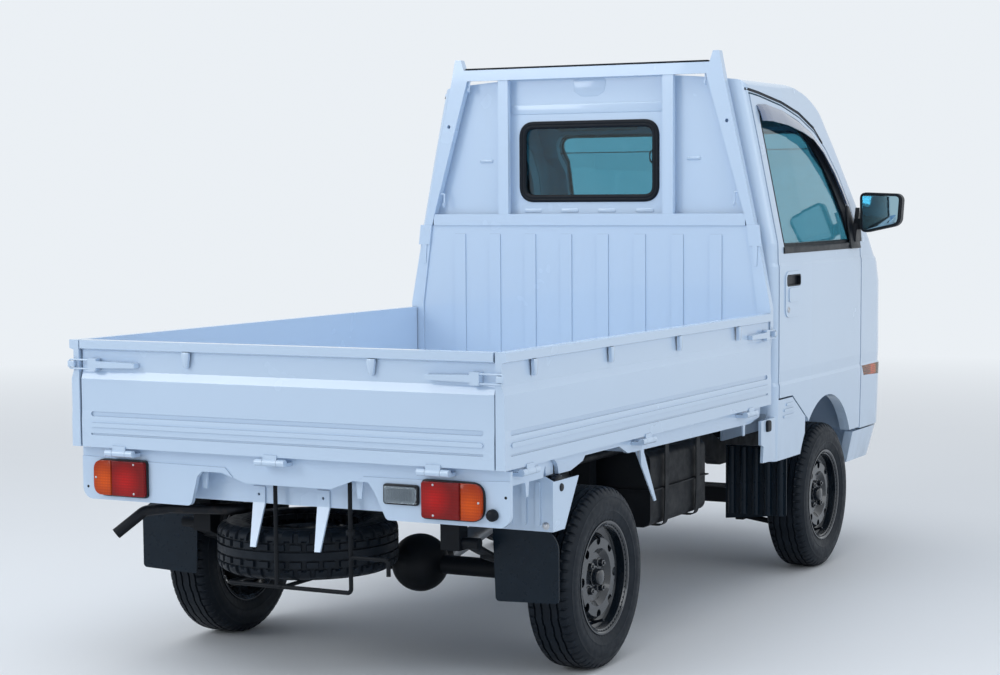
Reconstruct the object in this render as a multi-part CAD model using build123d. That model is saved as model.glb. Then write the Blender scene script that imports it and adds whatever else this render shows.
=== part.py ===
from build123d import *
import math
import os

# Kei truck with a dropside bed. Millimetres, +Z up, front towards -Y, the truck's left towards +X.
# The origin is on the ground, under the middle of the overall box.

# Overall. The bed follows the rear axle and the cab follows the front axle.
FRONT_AXLE_Y = -908.0
WHEELBASE = 1885.0
REAR_OVERHANG = 660.0
REAR_AXLE_Y = FRONT_AXLE_Y + WHEELBASE
TAIL_Y = REAR_AXLE_Y + REAR_OVERHANG
BED_HALF = 697.5
LATCH_PROUD = 10.5
MOVE_GAP = 5.0

# Wheels
TRACK_HALF = 606.0
TYRE_R = 260.0
TYRE_W = 145.0
BEAD_R = 152.0
FLANGE_R = 162.0
RIM_W = 128.0
RIM_SHEET = 5.0
DISC_OFFSET = 20.0
HUB_R = 22.0
RUNNING_GAP = 0.06
VENT_R = 13.0
VENT_CIRCLE_R = 106.0
VENT_COUNT = 8
DRUM_R = 100.0
DRUM_W = 50.0

# Steering axis of the right side: lower ball and strut top, as distance from the middle and height
BALL_X = 550.0
BALL_Z = 150.0
STRUT_TOP_X = 460.0
STRUT_TOP_Z = 700.0
STRUT_R = 22.0
KNUCKLE_TOP_Z = 396.0

# Gates, shared by the tail gate and the side gates
GATE_BOTTOM = 642.0
GATE_TOP = 945.0
GATE_THICK = 32.0
RIM_H = 28.0
BAND_DEPTH = 14.0
BAND_BOTTOM = 858.0
SHOULDER_BOTTOM = 835.0
FACE_SET = 6.0
SKIRT_SET = 4.0
SKIRT_TOP = 720.0
FACE_BOTTOM = 745.0
RIB_Z = 705.0
RIB_H = 12.0
STEP_Z = 736.0
STEP_H = 14.0
STEP_DEPTH = 4.0
GROOVE_Z = 679.0
GROOVE_H = 6.0
RIB_END = 32.0
HOOK_WIRE_R = 3.0
HOOK_BEND_R = 4.5
HOOK_TIP = 6.0
LATCH_Z = 877.0
LATCH_H = 20.0
LATCH_L = 165.0
BAIL_WIRE_R = 2.5
BAIL_HALF_H = 15.0
BAIL_OVER = 32.0
BAIL_BEND_R = 7.0
BAIL_COVER = 2.0
LATCH_KNEE = 50.0
PIVOT_HALF = 14.0

# Gate hinges
HINGE_R = 9.5
HINGE_PIN_R = 4.0
HINGE_SET = 4.5
HINGE_L = 95.0
HINGE_MID_L = 44.0
HINGE_Z = GATE_BOTTOM - HINGE_R - 5.5
TAIL_HINGES = (531.0, 25.0, -481.0)

# Bed
SILL_SET = 38.0
SILL_X = BED_HALF - SILL_SET
SILL_Y = TAIL_Y - SILL_SET
FLOOR_TOP = 656.0
FLOOR_SHEET = 16.0
HEADBOARD_Y = -299.0
HEADBOARD_THICK = 28.0
SIDE_HINGES = (TAIL_Y - 139.0, REAR_AXLE_Y - 247.0, HEADBOARD_Y + 194.0)
ROPE_HOOKS = (TAIL_Y - 171.0, REAR_AXLE_Y + 7.0, REAR_AXLE_Y - 485.0, HEADBOARD_Y + 304.0)
TAB_W = 25.0
TAB_THICK = 5.0
TAB_LOW = 551.0
REAR_TABS = (283.0, -220.0)
REAR_TAB_LOW = 536.0
SILL_TABS = (TAIL_Y - 191.0, REAR_AXLE_Y - 281.0, HEADBOARD_Y + 166.0)
GATE_FRONT_Y = HEADBOARD_Y + MOVE_GAP
SIDE_GATE_REAR_Y = TAIL_Y - 2.0
FLOOR_GROOVES = 9
FLOOR_GROOVE_W = 24.0
FLOOR_GROOVE_D = 3.0
BEARER_H = 50.0
BEARER_W = 46.0
BEARERS = (HEADBOARD_Y + 59.0, HEADBOARD_Y + 379.0, HEADBOARD_Y + 699.0,
           REAR_AXLE_Y - 277.0, REAR_AXLE_Y + 313.0, TAIL_Y - 87.0)

# Chassis
RAIL_X = 355.0
RAIL_W = 50.0
RAIL_H = 80.0
RAIL_TOP = FLOOR_TOP - FLOOR_SHEET - BEARER_H
CAB_RAIL_TOP = 466.0
RAIL_REAR_Y = TAIL_Y - 117.0

# Cab
CAB_REAR_Y = -341.0
CAB_BOTTOM = 442.0
WALL = 36.0
BACK_WALL = 30.0
BACK_BOTTOM = 604.0
SEAM = 6.0
DOOR_REAR_Y = -377.0
DOOR_REAR_GAP = 10.0
DOOR_FRONT_Y = -1262.0
DOOR_FRONT_GAP = 9.0
DOOR_AXIS_X = 673.0
DOOR_AXIS_SET = 30.0
DOOR_AXIS_Y = DOOR_FRONT_Y + DOOR_AXIS_SET
DOOR_HINGES = (600.0, 960.0)
DOOR_SWEEP_IN = 24.0
DOOR_PIN_R = 3.5
DOOR_BARREL_R = 6.5
DOOR_KNUCKLE_H = 16.0
DOOR_BARREL_H = 7.5
DOOR_ARM_IN = 28.0
DOOR_ARM_W = 8.0
DOOR_BOTTOM = 471.0
BELT_Z = 1160.0
ARCH_Y = -880.0
ARCH_Z = 318.0
ARCH_R = 308.0
ROOF_Z = 1757.0
GLASS_SET = 14.0
GLASS = 5.0
SHEET = 10.0
SEAT_BASE_Z = 640.0
BUMPER_TOP = 460.0
BUMPER_BOTTOM = 345.0


def side_prism(points, x0, x1):
    """Solid between x0 and x1 of an outline given as (y, z)."""
    plane = Plane(origin=(x0, 0, 0), x_dir=(0, 1, 0), z_dir=(1, 0, 0))
    return extrude(plane * Polygon(*points, align=None), x1 - x0, dir=(1, 0, 0))


def front_prism(points, y0, y1):
    """Solid between y0 and y1 of an outline given as (x, z)."""
    plane = Plane(origin=(0, y1, 0), x_dir=(1, 0, 0), z_dir=(0, -1, 0))
    return extrude(plane * Polygon(*points, align=None), y1 - y0, dir=(0, -1, 0))


def round_corners(points, rounds):
    """Flat outline with some corners rounded, given as (corner number, radius)."""
    sketch = Polygon(*points, align=None)
    for corner, radius in rounds:
        sketch = fillet(sketch.vertices().sort_by_distance((*points[corner], 0))[:1], radius)
    return sketch


def front_cut(sketch, y0, y1):
    """Solid between y0 and y1 of a sketch drawn as (x, z)."""
    plane = Plane(origin=(0, y1, 0), x_dir=(1, 0, 0), z_dir=(0, -1, 0))
    return extrude(plane * sketch, y1 - y0, dir=(0, -1, 0))


def block(x0, x1, y0, y1, z0, z1):
    """Box between two corners."""
    centre = Pos((x0 + x1) / 2, (y0 + y1) / 2, (z0 + z1) / 2)
    return centre * Box(abs(x1 - x0), abs(y1 - y0), abs(z1 - z0))


def rod_between(a, b, radius):
    """Round bar from point a to point b."""
    axis = Vector(*b) - Vector(*a)
    return Plane(origin=a, z_dir=axis) * Cylinder(radius, axis.length, align=(Align.CENTER, Align.CENTER, Align.MIN))


def x_cylinder(x0, x1, y, z, radius):
    """Cylinder along X."""
    return Pos((x0 + x1) / 2, y, z) * Rot(0, 90, 0) * Cylinder(radius, abs(x1 - x0))


def both_sides(solid):
    """The solid and its mirror image across the middle plane."""
    return solid + mirror(solid, Plane.YZ)


def group(solids):
    """Compound of separate solids."""
    return Compound(children=[s for shape in solids for s in shape.solids()])


def save(name, shape):
    """Write one node, as a plain compound of its solids."""
    solids = shape.solids()
    out = solids[0] if len(solids) == 1 else Compound(children=list(solids))
    export_step(out, "parts/" + name + ".step")


def wire_rod(points, bend, radius):
    """Bent round bar through points, with one bend radius."""
    path = FilletPolyline(*points, radius=bend)
    start = Plane(origin=path @ 0, z_dir=path % 0)
    return sweep(start * Circle(radius), path=path)


# Wheels

def tyre():
    """Tyre about the X axis, its middle at the origin."""
    half = TYRE_W / 2
    outline = [
        (-RIM_W / 2 + 3, BEAD_R),
        (-RIM_W / 2 + 3, FLANGE_R + 2),
        (-half, BEAD_R + 48),
        (-half, BEAD_R + 62),
        (-half + 11, TYRE_R - 12),
        (-half + 20, TYRE_R - 3),
        (-half + 42, TYRE_R),
    ]
    outline = outline + [(-x, r) for x, r in reversed(outline)]
    section = Plane.XZ * Polygon(*outline, align=None)
    return revolve(section, Axis.X)


def rim():
    """Pressed steel wheel about the X axis, outer face towards +X."""
    half = RIM_W / 2
    well = BEAD_R - 20
    barrel = [
        (-half, FLANGE_R),
        (-half + 3, FLANGE_R),
        (-half + 3, BEAD_R),
        (-18, BEAD_R),
        (-10, well),
        (22, well),
        (30, BEAD_R),
        (half - 3, BEAD_R),
        (half - 3, FLANGE_R),
        (half, FLANGE_R),
        (half, FLANGE_R - 4),
        (half - 8, BEAD_R - RIM_SHEET),
        (31, BEAD_R - RIM_SHEET),
        (23, well - RIM_SHEET),
        (-11, well - RIM_SHEET),
        (-19, BEAD_R - RIM_SHEET),
        (-half + 8, BEAD_R - RIM_SHEET),
        (-half, FLANGE_R - 4),
    ]
    disc = [
        (DISC_OFFSET, HUB_R + RUNNING_GAP),
        (DISC_OFFSET, 72),
        (DISC_OFFSET + 16, 86),
        (DISC_OFFSET + 16, 108),
        (12, well - RIM_SHEET + 1),
        (18, well - RIM_SHEET + 1),
        (DISC_OFFSET + 22, 112),
        (DISC_OFFSET + 22, 83),
        (DISC_OFFSET + 6, 69),
        (DISC_OFFSET + 6, HUB_R + RUNNING_GAP),
    ]
    body = revolve(Plane.XZ * Polygon(*barrel, align=None), Axis.X)
    body += revolve(Plane.XZ * Polygon(*disc, align=None), Axis.X)
    for i in range(VENT_COUNT):
        angle = math.radians(360 * i / VENT_COUNT)
        y = VENT_CIRCLE_R * math.cos(angle)
        z = VENT_CIRCLE_R * math.sin(angle)
        body -= x_cylinder(0, half, y, z, VENT_R)
    return body


def wheel_place(side, y):
    """Placing of a wheel: side is 1 on the left and -1 on the right."""
    turn = 0 if side > 0 else 180
    return Pos(side * TRACK_HALF, y, TYRE_R) * Rot(0, 0, turn)


# Gates. Local frame: length along x, the rim's outer face at y = 0, heights as on the truck.

def rope_hook(x, top, drop, face):
    """Wire hook that drops from top and turns up again at face, a y value."""
    deep = face - 2 * HOOK_BEND_R
    low = top - drop
    points = [(x, deep, top), (x, deep, low - HOOK_BEND_R), (x, face, low - HOOK_BEND_R), (x, face, low + HOOK_TIP)]
    return wire_rod(points, HOOK_BEND_R - 0.1, HOOK_WIRE_R)


def latch(end, direction, proud):
    """Lever on its pivot, and the wire bail that runs past the gate's end in the given direction."""
    inner = end - direction * (LATCH_L + BAIL_OVER)
    outer = end + direction * BAIL_OVER
    knee = end - direction * LATCH_KNEE
    lever = [
        (inner, LATCH_Z - LATCH_H / 3),
        (knee, LATCH_Z - LATCH_H / 2),
        (knee, LATCH_Z + LATCH_H / 2),
        (inner, LATCH_Z + LATCH_H / 3),
    ]
    body = front_prism(lever, -BAND_DEPTH, proud)
    body += block(knee - PIVOT_HALF, knee + PIVOT_HALF, -BAND_DEPTH, proud,
                  LATCH_Z - BAIL_HALF_H - BAIL_COVER, LATCH_Z + BAIL_HALF_H + BAIL_COVER)
    wire_y = proud - BAIL_COVER - BAIL_WIRE_R
    low = LATCH_Z - BAIL_HALF_H + BAIL_WIRE_R
    high = LATCH_Z + BAIL_HALF_H - BAIL_WIRE_R
    points = [(knee, wire_y, low), (outer, wire_y, low), (outer, wire_y, high), (knee, wire_y, high)]
    bail = wire_rod(points, BAIL_BEND_R, BAIL_WIRE_R)
    body -= wire_rod(points, BAIL_BEND_R, BAIL_WIRE_R + RUNNING_GAP)
    return [body, bail]


def capsule(length, z, height, y0, y1):
    """Bar with round ends, on a gate's outer face."""
    plane = Plane(origin=(0, y1, z), x_dir=(1, 0, 0), z_dir=(0, -1, 0))
    return extrude(plane * SlotOverall(length, height), y1 - y0, dir=(0, -1, 0))


def gate(length, hinges, hooks):
    """Gate panel with its pressed lines, rope hooks and hinge straps."""
    half = length / 2
    outline = [
        (-GATE_THICK, GATE_BOTTOM),
        (-SKIRT_SET, GATE_BOTTOM),
        (-SKIRT_SET, SKIRT_TOP),
        (-FACE_SET, FACE_BOTTOM),
        (-FACE_SET, SHOULDER_BOTTOM),
        (-BAND_DEPTH, BAND_BOTTOM),
        (-BAND_DEPTH, GATE_TOP - RIM_H),
        (0, GATE_TOP - RIM_H + 4),
        (0, GATE_TOP),
        (-GATE_THICK, GATE_TOP),
    ]
    body = side_prism(outline, -half, half)
    pressed = length - 2 * RIB_END
    body += capsule(pressed, RIB_Z, RIB_H, -SKIRT_SET - 1, 0)
    body -= capsule(pressed, STEP_Z, STEP_H, -FACE_SET - STEP_DEPTH, 0)
    body -= capsule(pressed, GROOVE_Z, GROOVE_H, -SKIRT_SET - 3, 0)
    for x in hooks:
        body += rope_hook(x, GATE_TOP - RIM_H + 2, RIM_H, 0)
    for x in hinges:
        strap = block(x - HINGE_MID_L / 2, x + HINGE_MID_L / 2, -HINGE_SET - 4, -HINGE_SET + 4, HINGE_Z, GATE_BOTTOM + 6)
        body += strap
        body += x_cylinder(x - HINGE_MID_L / 2, x + HINGE_MID_L / 2, -HINGE_SET, HINGE_Z, HINGE_R)
    for x in hinges:
        body -= x_cylinder(x - HINGE_L, x + HINGE_L, -HINGE_SET, HINGE_Z, HINGE_PIN_R + RUNNING_GAP)
    return body


def hinge_fixed(x, reach):
    """Pin, two end barrels and the arms back to the sill, reach behind the rim plane."""
    body = x_cylinder(x - HINGE_L / 2, x + HINGE_L / 2, -HINGE_SET, HINGE_Z, HINGE_PIN_R)
    inner = HINGE_MID_L / 2 + 1
    outer = HINGE_L / 2
    for side in (-1, 1):
        x0 = x + side * inner
        x1 = x + side * outer
        body += x_cylinder(x0, x1, -HINGE_SET, HINGE_Z, HINGE_R)
        body += block(x0, x1, -reach, -HINGE_SET, HINGE_Z - HINGE_R, HINGE_Z)
    return body


TAIL_GATE_L = 2 * (BED_HALF - GATE_THICK - MOVE_GAP)
SIDE_GATE_L = SIDE_GATE_REAR_Y - GATE_FRONT_Y
SIDE_MID_Y = (SIDE_GATE_REAR_Y + GATE_FRONT_Y) / 2
TAIL_PLACE = Pos(0, TAIL_Y, 0)
RIGHT_PLACE = Pos(-BED_HALF, SIDE_MID_Y, 0) * Rot(0, 0, 90)
SIDE_PROUD = 4.0
TAIL_HOOK_X = 297.0


def tail_gate():
    """Tail gate, between the side gates."""
    return TAIL_PLACE * gate(TAIL_GATE_L, TAIL_HINGES, (TAIL_HOOK_X, -TAIL_HOOK_X))


def tail_latches():
    """One latch at each end of the tail gate."""
    half = TAIL_GATE_L / 2
    solids = latch(half, 1, LATCH_PROUD) + latch(-half, -1, LATCH_PROUD)
    return group([TAIL_PLACE * solid for solid in solids])


def right_gate():
    """Right side gate; its length runs along Y."""
    hooks = [y - SIDE_MID_Y for y in ROPE_HOOKS]
    hinges = [y - SIDE_MID_Y for y in SIDE_HINGES]
    return RIGHT_PLACE * gate(SIDE_GATE_L, hinges, hooks)


def right_latch():
    """Latch at the front end of the right side gate."""
    solids = latch(-SIDE_GATE_L / 2, -1, SIDE_PROUD)
    return group([RIGHT_PLACE * solid for solid in solids])


# Bed

def bed_floor():
    """Floor plate with lengthways grooves, on cross bearers."""
    half = SILL_X - SILL_SHEET
    body = block(-half, half, HEADBOARD_Y, SILL_Y - REAR_SILL_SHEET, FLOOR_TOP - FLOOR_SHEET, FLOOR_TOP)
    pitch = 2 * half / (FLOOR_GROOVES + 1)
    for i in range(FLOOR_GROOVES):
        x = -half + pitch * (i + 1)
        body -= block(x - FLOOR_GROOVE_W / 2, x + FLOOR_GROOVE_W / 2, HEADBOARD_Y + 60, SILL_Y - 60,
                      FLOOR_TOP - FLOOR_GROOVE_D, FLOOR_TOP)
    for y in BEARERS:
        body += block(-half, half, y - BEARER_W / 2, y + BEARER_W / 2, RAIL_TOP, FLOOR_TOP - FLOOR_SHEET)
    face = BEARERS[-1] + BEARER_W / 2
    for x in REAR_TABS:
        body += front_prism(tab_outline(x, RAIL_TOP + 2, REAR_TAB_LOW), face - TAB_THICK, face)
    return body


SILL_SHEET = 12.0
REAR_SILL_SHEET = 14.0
SILL_TOP = FLOOR_TOP
WHEEL_CUT_Z = 622.0
NOTCH_Y = REAR_AXLE_Y + 327.0
NOTCH_R = 46.0


def tab_outline(middle, top, low):
    """Outline of a rope tab that narrows downwards."""
    return [(middle - TAB_W / 2, top), (middle + TAB_W / 2, top), (middle + TAB_W / 4, low), (middle - TAB_W / 4, low)]


def right_sill(notch):
    """Side sill under the side gate, with the wheel cut and the filler notch."""
    outline = [
        (SILL_Y - REAR_SILL_SHEET, SILL_TOP),
        (SILL_Y - REAR_SILL_SHEET, 590),
        (REAR_AXLE_Y + 205, 590),
        (REAR_AXLE_Y + 128, 608),
        (REAR_AXLE_Y + 111, WHEEL_CUT_Z),
        (REAR_AXLE_Y - 117, WHEEL_CUT_Z),
        (REAR_AXLE_Y - 180, 596),
        (HEADBOARD_Y + 111, 586),
        (HEADBOARD_Y + 27, 600),
        (HEADBOARD_Y + 9, SILL_TOP),
    ]
    body = side_prism(outline, -SILL_X, -SILL_X + SILL_SHEET)
    if notch:
        body -= x_cylinder(-SILL_X - 1, -SILL_X + SILL_SHEET + 1, NOTCH_Y, 590, NOTCH_R)
    for y in SIDE_HINGES:
        arm = hinge_fixed(y - SIDE_MID_Y, SILL_SET)
        body += RIGHT_PLACE * arm
    for y in SILL_TABS:
        body += side_prism(tab_outline(y, 600, TAB_LOW), -SILL_X, -SILL_X + TAB_THICK)
    return body


REAR_SILL_HALF = BED_HALF - 9.5
REAR_SILL_BOTTOM = 488.0
REAR_SILL_STEP = 3.0
REAR_SILL_CORNER = 34.0
REAR_CUT_CORNER = 16.0


def rear_sill():
    """Pressed sill across the tail: two lamp panels, cut up between them, with a sunk middle over the cut."""
    low = REAR_SILL_BOTTOM
    outline = [
        (-SILL_X, SILL_TOP),
        (-SILL_X, SILL_TOP - 20),
        (-REAR_SILL_HALF, SILL_TOP - 20),
        (-REAR_SILL_HALF, low),
        (-318, low),
        (-281, 562),
        (-262, 586),
        (-213, 586),
        (-143, 560),
        (130, 560),
        (207, 586),
        (276, 586),
        (291, 570),
        (313, low),
        (REAR_SILL_HALF, low),
        (REAR_SILL_HALF, SILL_TOP - 20),
        (SILL_X, SILL_TOP - 20),
        (SILL_X, SILL_TOP),
    ]
    rounds = [(3, REAR_SILL_CORNER), (4, REAR_CUT_CORNER), (13, REAR_CUT_CORNER), (14, REAR_SILL_CORNER)]
    body = front_cut(round_corners(outline, rounds), SILL_Y - REAR_SILL_SHEET, SILL_Y)
    sunk = [
        (-REAR_SILL_HALF - 1, SILL_TOP + 1),
        (-REAR_SILL_HALF - 1, 611),
        (-482, 602),
        (-247, 600),
        (-209, 560),
        (-209, 500),
        (151, 500),
        (151, 552),
        (197, 601),
        (465, 603),
        (REAR_SILL_HALF + 1, 611),
        (REAR_SILL_HALF + 1, SILL_TOP + 1),
    ]
    body -= front_prism(sunk, SILL_Y - REAR_SILL_STEP, SILL_Y + 1)
    for x in TAIL_HINGES:
        body += TAIL_PLACE * hinge_fixed(x, SILL_SET + REAR_SILL_STEP)
    return body


BEAM_Y = RAIL_REAR_Y + 7.0
STAY_SPACING = 210.0
STAY_X = 26.0
STAY_HOLE_R = 4.0
STAY_HOLE_Z = 523.0


def rear_beam():
    """Cross member closing the chassis, with the two long plate stays."""
    body = block(-RAIL_X - RAIL_W / 2, RAIL_X + RAIL_W / 2, RAIL_REAR_Y, BEAM_Y, 498, RAIL_TOP - 8)
    for side in (-1, 1):
        x = STAY_X + side * STAY_SPACING / 2
        flat = [(x - 20, 500), (x + 20, 500), (x + 20, 545), (x - 20, 545)]
        body += front_prism(flat, BEAM_Y - 1, BEAM_Y + 5)
        leg = [(BEAM_Y - 1, 500), (BEAM_Y + 5, 500), (BEAM_Y + 40, 380), (BEAM_Y + 34, 380)]
        taper = [(x - 20, 545), (x - 20, 500), (x - 9, 380), (x + 9, 380), (x + 20, 500), (x + 20, 545)]
        body += side_prism(leg, x - 20, x + 20) & front_prism(taper, BEAM_Y - 5, BEAM_Y + 60)
        body -= Pos(x, BEAM_Y, STAY_HOLE_Z) * Rot(90, 0, 0) * Cylinder(STAY_HOLE_R, 40)
    return body


# Headboard and guard frame, as (half width, height) of the post's outer and inner edge
POST_OUTER = ((BED_HALF - 37.5, FLOOR_TOP), (BED_HALF - 9.5, 900.0), (BED_HALF - 9.5, 960.0),
              (BED_HALF - 49.5, 1168.0), (BED_HALF - 178.5, 1738.0), (BED_HALF - 195.5, 1822.0))
POST_INNER = ((BED_HALF - 217.5, 1822.0), (BED_HALF - 242.5, 1747.0), (BED_HALF - 104.5, 1276.0),
              (BED_HALF - 95.5, 1238.0), (BED_HALF - 57.5, 960.0), (BED_HALF - 57.5, FLOOR_TOP))
TOP_RAIL = (1747.0, 1785.0)
MID_RAIL = (1238.0, 1278.0)
BAR_X = (295.0, 334.0)
GUARD_HOOK_X = 450.0
GUARD_HOOK_DROP = 34.0
POST_HOOK = (1350.0, 1306.0)
POST_HOLE = (530.0, 1588.0)
POST_HOLE_R = 6.5
POST_PLATE = (1240.0, 1170.0, 1103.0)
POST_PLATE_THICK = 3.0


def headboard():
    """Pressed panel between the posts, with upright corrugations."""
    half_low = POST_INNER[-1][0]
    half_top = POST_INNER[3][0]
    outline = [(-half_low, FLOOR_TOP), (half_low, FLOOR_TOP), (half_low, 960), (half_top, MID_RAIL[0])]
    outline += [(-half_top, MID_RAIL[0]), (-half_low, 960)]
    body = front_prism(outline, HEADBOARD_Y - 14, HEADBOARD_Y - 6)
    count = 8
    pitch = 2 * 560 / count
    for i in range(count):
        x = -560 + pitch * (i + 0.5)
        rib = [(x - 22, FLOOR_TOP + 40), (x + 22, FLOOR_TOP + 40), (x + 22, MID_RAIL[0] - 30), (x - 22, MID_RAIL[0] - 30)]
        body += front_prism(rib, HEADBOARD_Y - 7, HEADBOARD_Y - 2)
    return body


def post_inner_x(z):
    """Inner edge of the left post between the top rail and the bed."""
    edge = POST_INNER[1:]
    for (x0, z0), (x1, z1) in zip(edge, edge[1:]):
        if z1 <= z <= z0:
            return x0 + (x1 - x0) * (z0 - z) / (z0 - z1)
    return edge[-1][0]


def post_hook(face):
    """Hook that leaves the left post's inner edge, drops and turns up at face."""
    top, low = POST_HOOK
    deep = face - 2 * HOOK_BEND_R
    start = post_inner_x(top) + 6
    x = start - 22
    points = [(start, deep, top), (x, deep, top), (x, deep, low), (x, face, low), (x, face, low + 12)]
    return wire_rod(points, HOOK_BEND_R - 0.1, HOOK_WIRE_R)


def guard_frame():
    """Two posts, top rail, middle rail and two bars behind the cab."""
    y0 = HEADBOARD_Y - HEADBOARD_THICK
    y1 = HEADBOARD_Y
    post = front_prism([(-x, z) for x, z in POST_OUTER + POST_INNER], y0, y1)
    body = both_sides(post)
    inner = POST_INNER[1][0] + 8
    body += front_prism([(-inner, TOP_RAIL[0]), (inner, TOP_RAIL[0]), (inner + 6, TOP_RAIL[1]), (-inner - 6, TOP_RAIL[1])], y0, y1)
    mid = POST_INNER[2][0] + 3
    body += front_prism([(-mid, MID_RAIL[0]), (mid, MID_RAIL[0]), (mid, MID_RAIL[1]), (-mid, MID_RAIL[1])], y0 + 2, y1 - 2)
    for side in (-1, 1):
        body += block(side * BAR_X[0], side * BAR_X[1], y0 + 4, y1 - 4, MID_RAIL[1] - 1, TOP_RAIL[0] + 1)
    left = rope_hook(GUARD_HOOK_X, TOP_RAIL[0] + 2, GUARD_HOOK_DROP, y1)
    left += post_hook(y1)
    top, middle, low = POST_PLATE
    inner = post_inner_x(top) + 1
    plate = [(inner, top), (inner + 45, top), (inner + 53, middle), (inner + 9, middle)]
    left += front_prism(plate, y1 - 1, y1 + POST_PLATE_THICK)
    stay = [(inner + 21, middle), (inner + 39, middle), (inner + 37, low), (inner + 25, low)]
    left += front_prism(stay, y1 - 1, y1 + POST_PLATE_THICK)
    body += both_sides(left)
    for side in (-1, 1):
        body -= Pos(side * POST_HOLE[0], y1, POST_HOLE[1]) * Rot(90, 0, 0) * Cylinder(POST_HOLE_R, 3 * HEADBOARD_THICK)
    return body


# Chassis

def chassis_frame():
    """Two rails that drop under the cab, with cross members and spring hangers."""
    low = CAB_RAIL_TOP - RAIL_H
    rail = [
        (RAIL_REAR_Y, RAIL_TOP),
        (RAIL_REAR_Y, RAIL_TOP - RAIL_H),
        (-330, RAIL_TOP - RAIL_H),
        (-620, low),
        (-1560, low),
        (-1560, CAB_RAIL_TOP),
        (-640, CAB_RAIL_TOP),
        (-350, RAIL_TOP),
    ]
    body = both_sides(side_prism(rail, RAIL_X - RAIL_W / 2, RAIL_X + RAIL_W / 2))
    for y, top in CROSS_MEMBERS:
        body += block(-RAIL_X, RAIL_X, y - CROSS_HALF_W, y + CROSS_HALF_W, top - RAIL_H + CROSS_SET, top - CROSS_SET)
    for y in SPRING_EYES:
        body += both_sides(block(RAIL_X + RAIL_W / 2 - 1, SPRING_X - SPRING_W / 2, y - 24, y + 24, SPRING_EYE_Z - 20, RAIL_TOP - 6))
    return body


SPRING_X = 462.0
SPRING_W = 50.0
SPRING_EYES = (REAR_AXLE_Y - 415, REAR_AXLE_Y + 415)
SPRING_EYE_Z = 405.0
AXLE_TUBE_R = 28.0


def rear_axle():
    """Live axle with its differential, drums, hub ends and leaf springs."""
    outer = TRACK_HALF + DISC_OFFSET + 14
    body = x_cylinder(-540, 540, REAR_AXLE_Y, TYRE_R, AXLE_TUBE_R)
    body += Pos(-65, REAR_AXLE_Y, TYRE_R) * Sphere(86)
    body += Pos(-65, REAR_AXLE_Y - 100, TYRE_R) * Rot(90, 0, 0) * Cylinder(34, 90)
    for side in (-1, 1):
        body += x_cylinder(side * 538, side * (538 + DRUM_W), REAR_AXLE_Y, TYRE_R, DRUM_R)
        body += x_cylinder(side * 538, side * outer, REAR_AXLE_Y, TYRE_R, HUB_R)
        x0 = side * SPRING_X - SPRING_W / 2
        x1 = side * SPRING_X + SPRING_W / 2
        for i in range(3):
            reach = (415 - 95 * i) / 415
            rise = (SPRING_EYE_Z - TYRE_R - AXLE_TUBE_R - 20) * reach * reach
            z = TYRE_R + AXLE_TUBE_R + 20 - 8 * i
            ends = 415 * reach
            y = REAR_AXLE_Y
            top = ThreePointArc((y - ends, z + rise), (y, z), (y + ends, z + rise))
            right = Line((y + ends, z + rise), (y + ends, z + rise - 8))
            under = ThreePointArc((y + ends, z + rise - 8), (y, z - 8), (y - ends, z + rise - 8))
            left = Line((y - ends, z + rise - 8), (y - ends, z + rise))
            face = make_face(top + right + under + left)
            plane = Plane(origin=(x0, 0, 0), x_dir=(0, 1, 0), z_dir=(1, 0, 0))
            body += extrude(plane * face, x1 - x0, dir=(1, 0, 0))
        for y in SPRING_EYES:
            body += x_cylinder(x0, x1, y, SPRING_EYE_Z, 16)
        body += block(x0 - 4, x1 + 4, REAR_AXLE_Y - 40, REAR_AXLE_Y + 40, TYRE_R - AXLE_TUBE_R - 8, TYRE_R + AXLE_TUBE_R + 26)
    return body


def engine_block():
    """Engine and gearbox under the seats, one plain block."""
    return block(-190, 190, -850, -390, 300, 590) + block(-110, 110, -392, -60, 330, 500)


def propshaft():
    """Shaft from the gearbox to the differential."""
    return rod_between((-30, -52, 400), (-65, REAR_AXLE_Y - 150, TYRE_R), 30)


def axis_point(z):
    """Point of the right steering axis at a height."""
    t = (z - BALL_Z) / (STRUT_TOP_Z - BALL_Z)
    return (-(BALL_X + (STRUT_TOP_X - BALL_X) * t), FRONT_AXLE_Y, z)


def front_beam():
    """Cross beam, lower arms, struts and the steering rack."""
    body = block(-RAIL_X - 20, RAIL_X + 20, FRONT_AXLE_Y - 45, FRONT_AXLE_Y + 45, 215, 270)
    right = block(-RAIL_X - 20, -RAIL_X + 20, FRONT_AXLE_Y - 40, FRONT_AXLE_Y + 40, 260, CAB_RAIL_TOP - RAIL_H)
    right += rod_between((-RAIL_X, FRONT_AXLE_Y, 165), axis_point(BALL_Z - 14), 10)
    right += block(-RAIL_X - 15, -RAIL_X + 15, FRONT_AXLE_Y - 30, FRONT_AXLE_Y + 30, 152, 216)
    right += Pos(*axis_point(BALL_Z - 13.5)) * Cylinder(16, 17)
    top = SEAT_BASE_Z - SHEET
    right += rod_between(axis_point(KNUCKLE_TOP_Z + 4), axis_point(top - 4), STRUT_R)
    right += Pos(*axis_point(top - 5)) * Cylinder(46, 10)
    body += both_sides(right)
    body += x_cylinder(-RAIL_X - 40, RAIL_X + 40, FRONT_AXLE_Y - 90, 245, 22)
    body += block(-60, 60, FRONT_AXLE_Y - 90, FRONT_AXLE_Y - 40, 225, 262)
    return body


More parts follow.
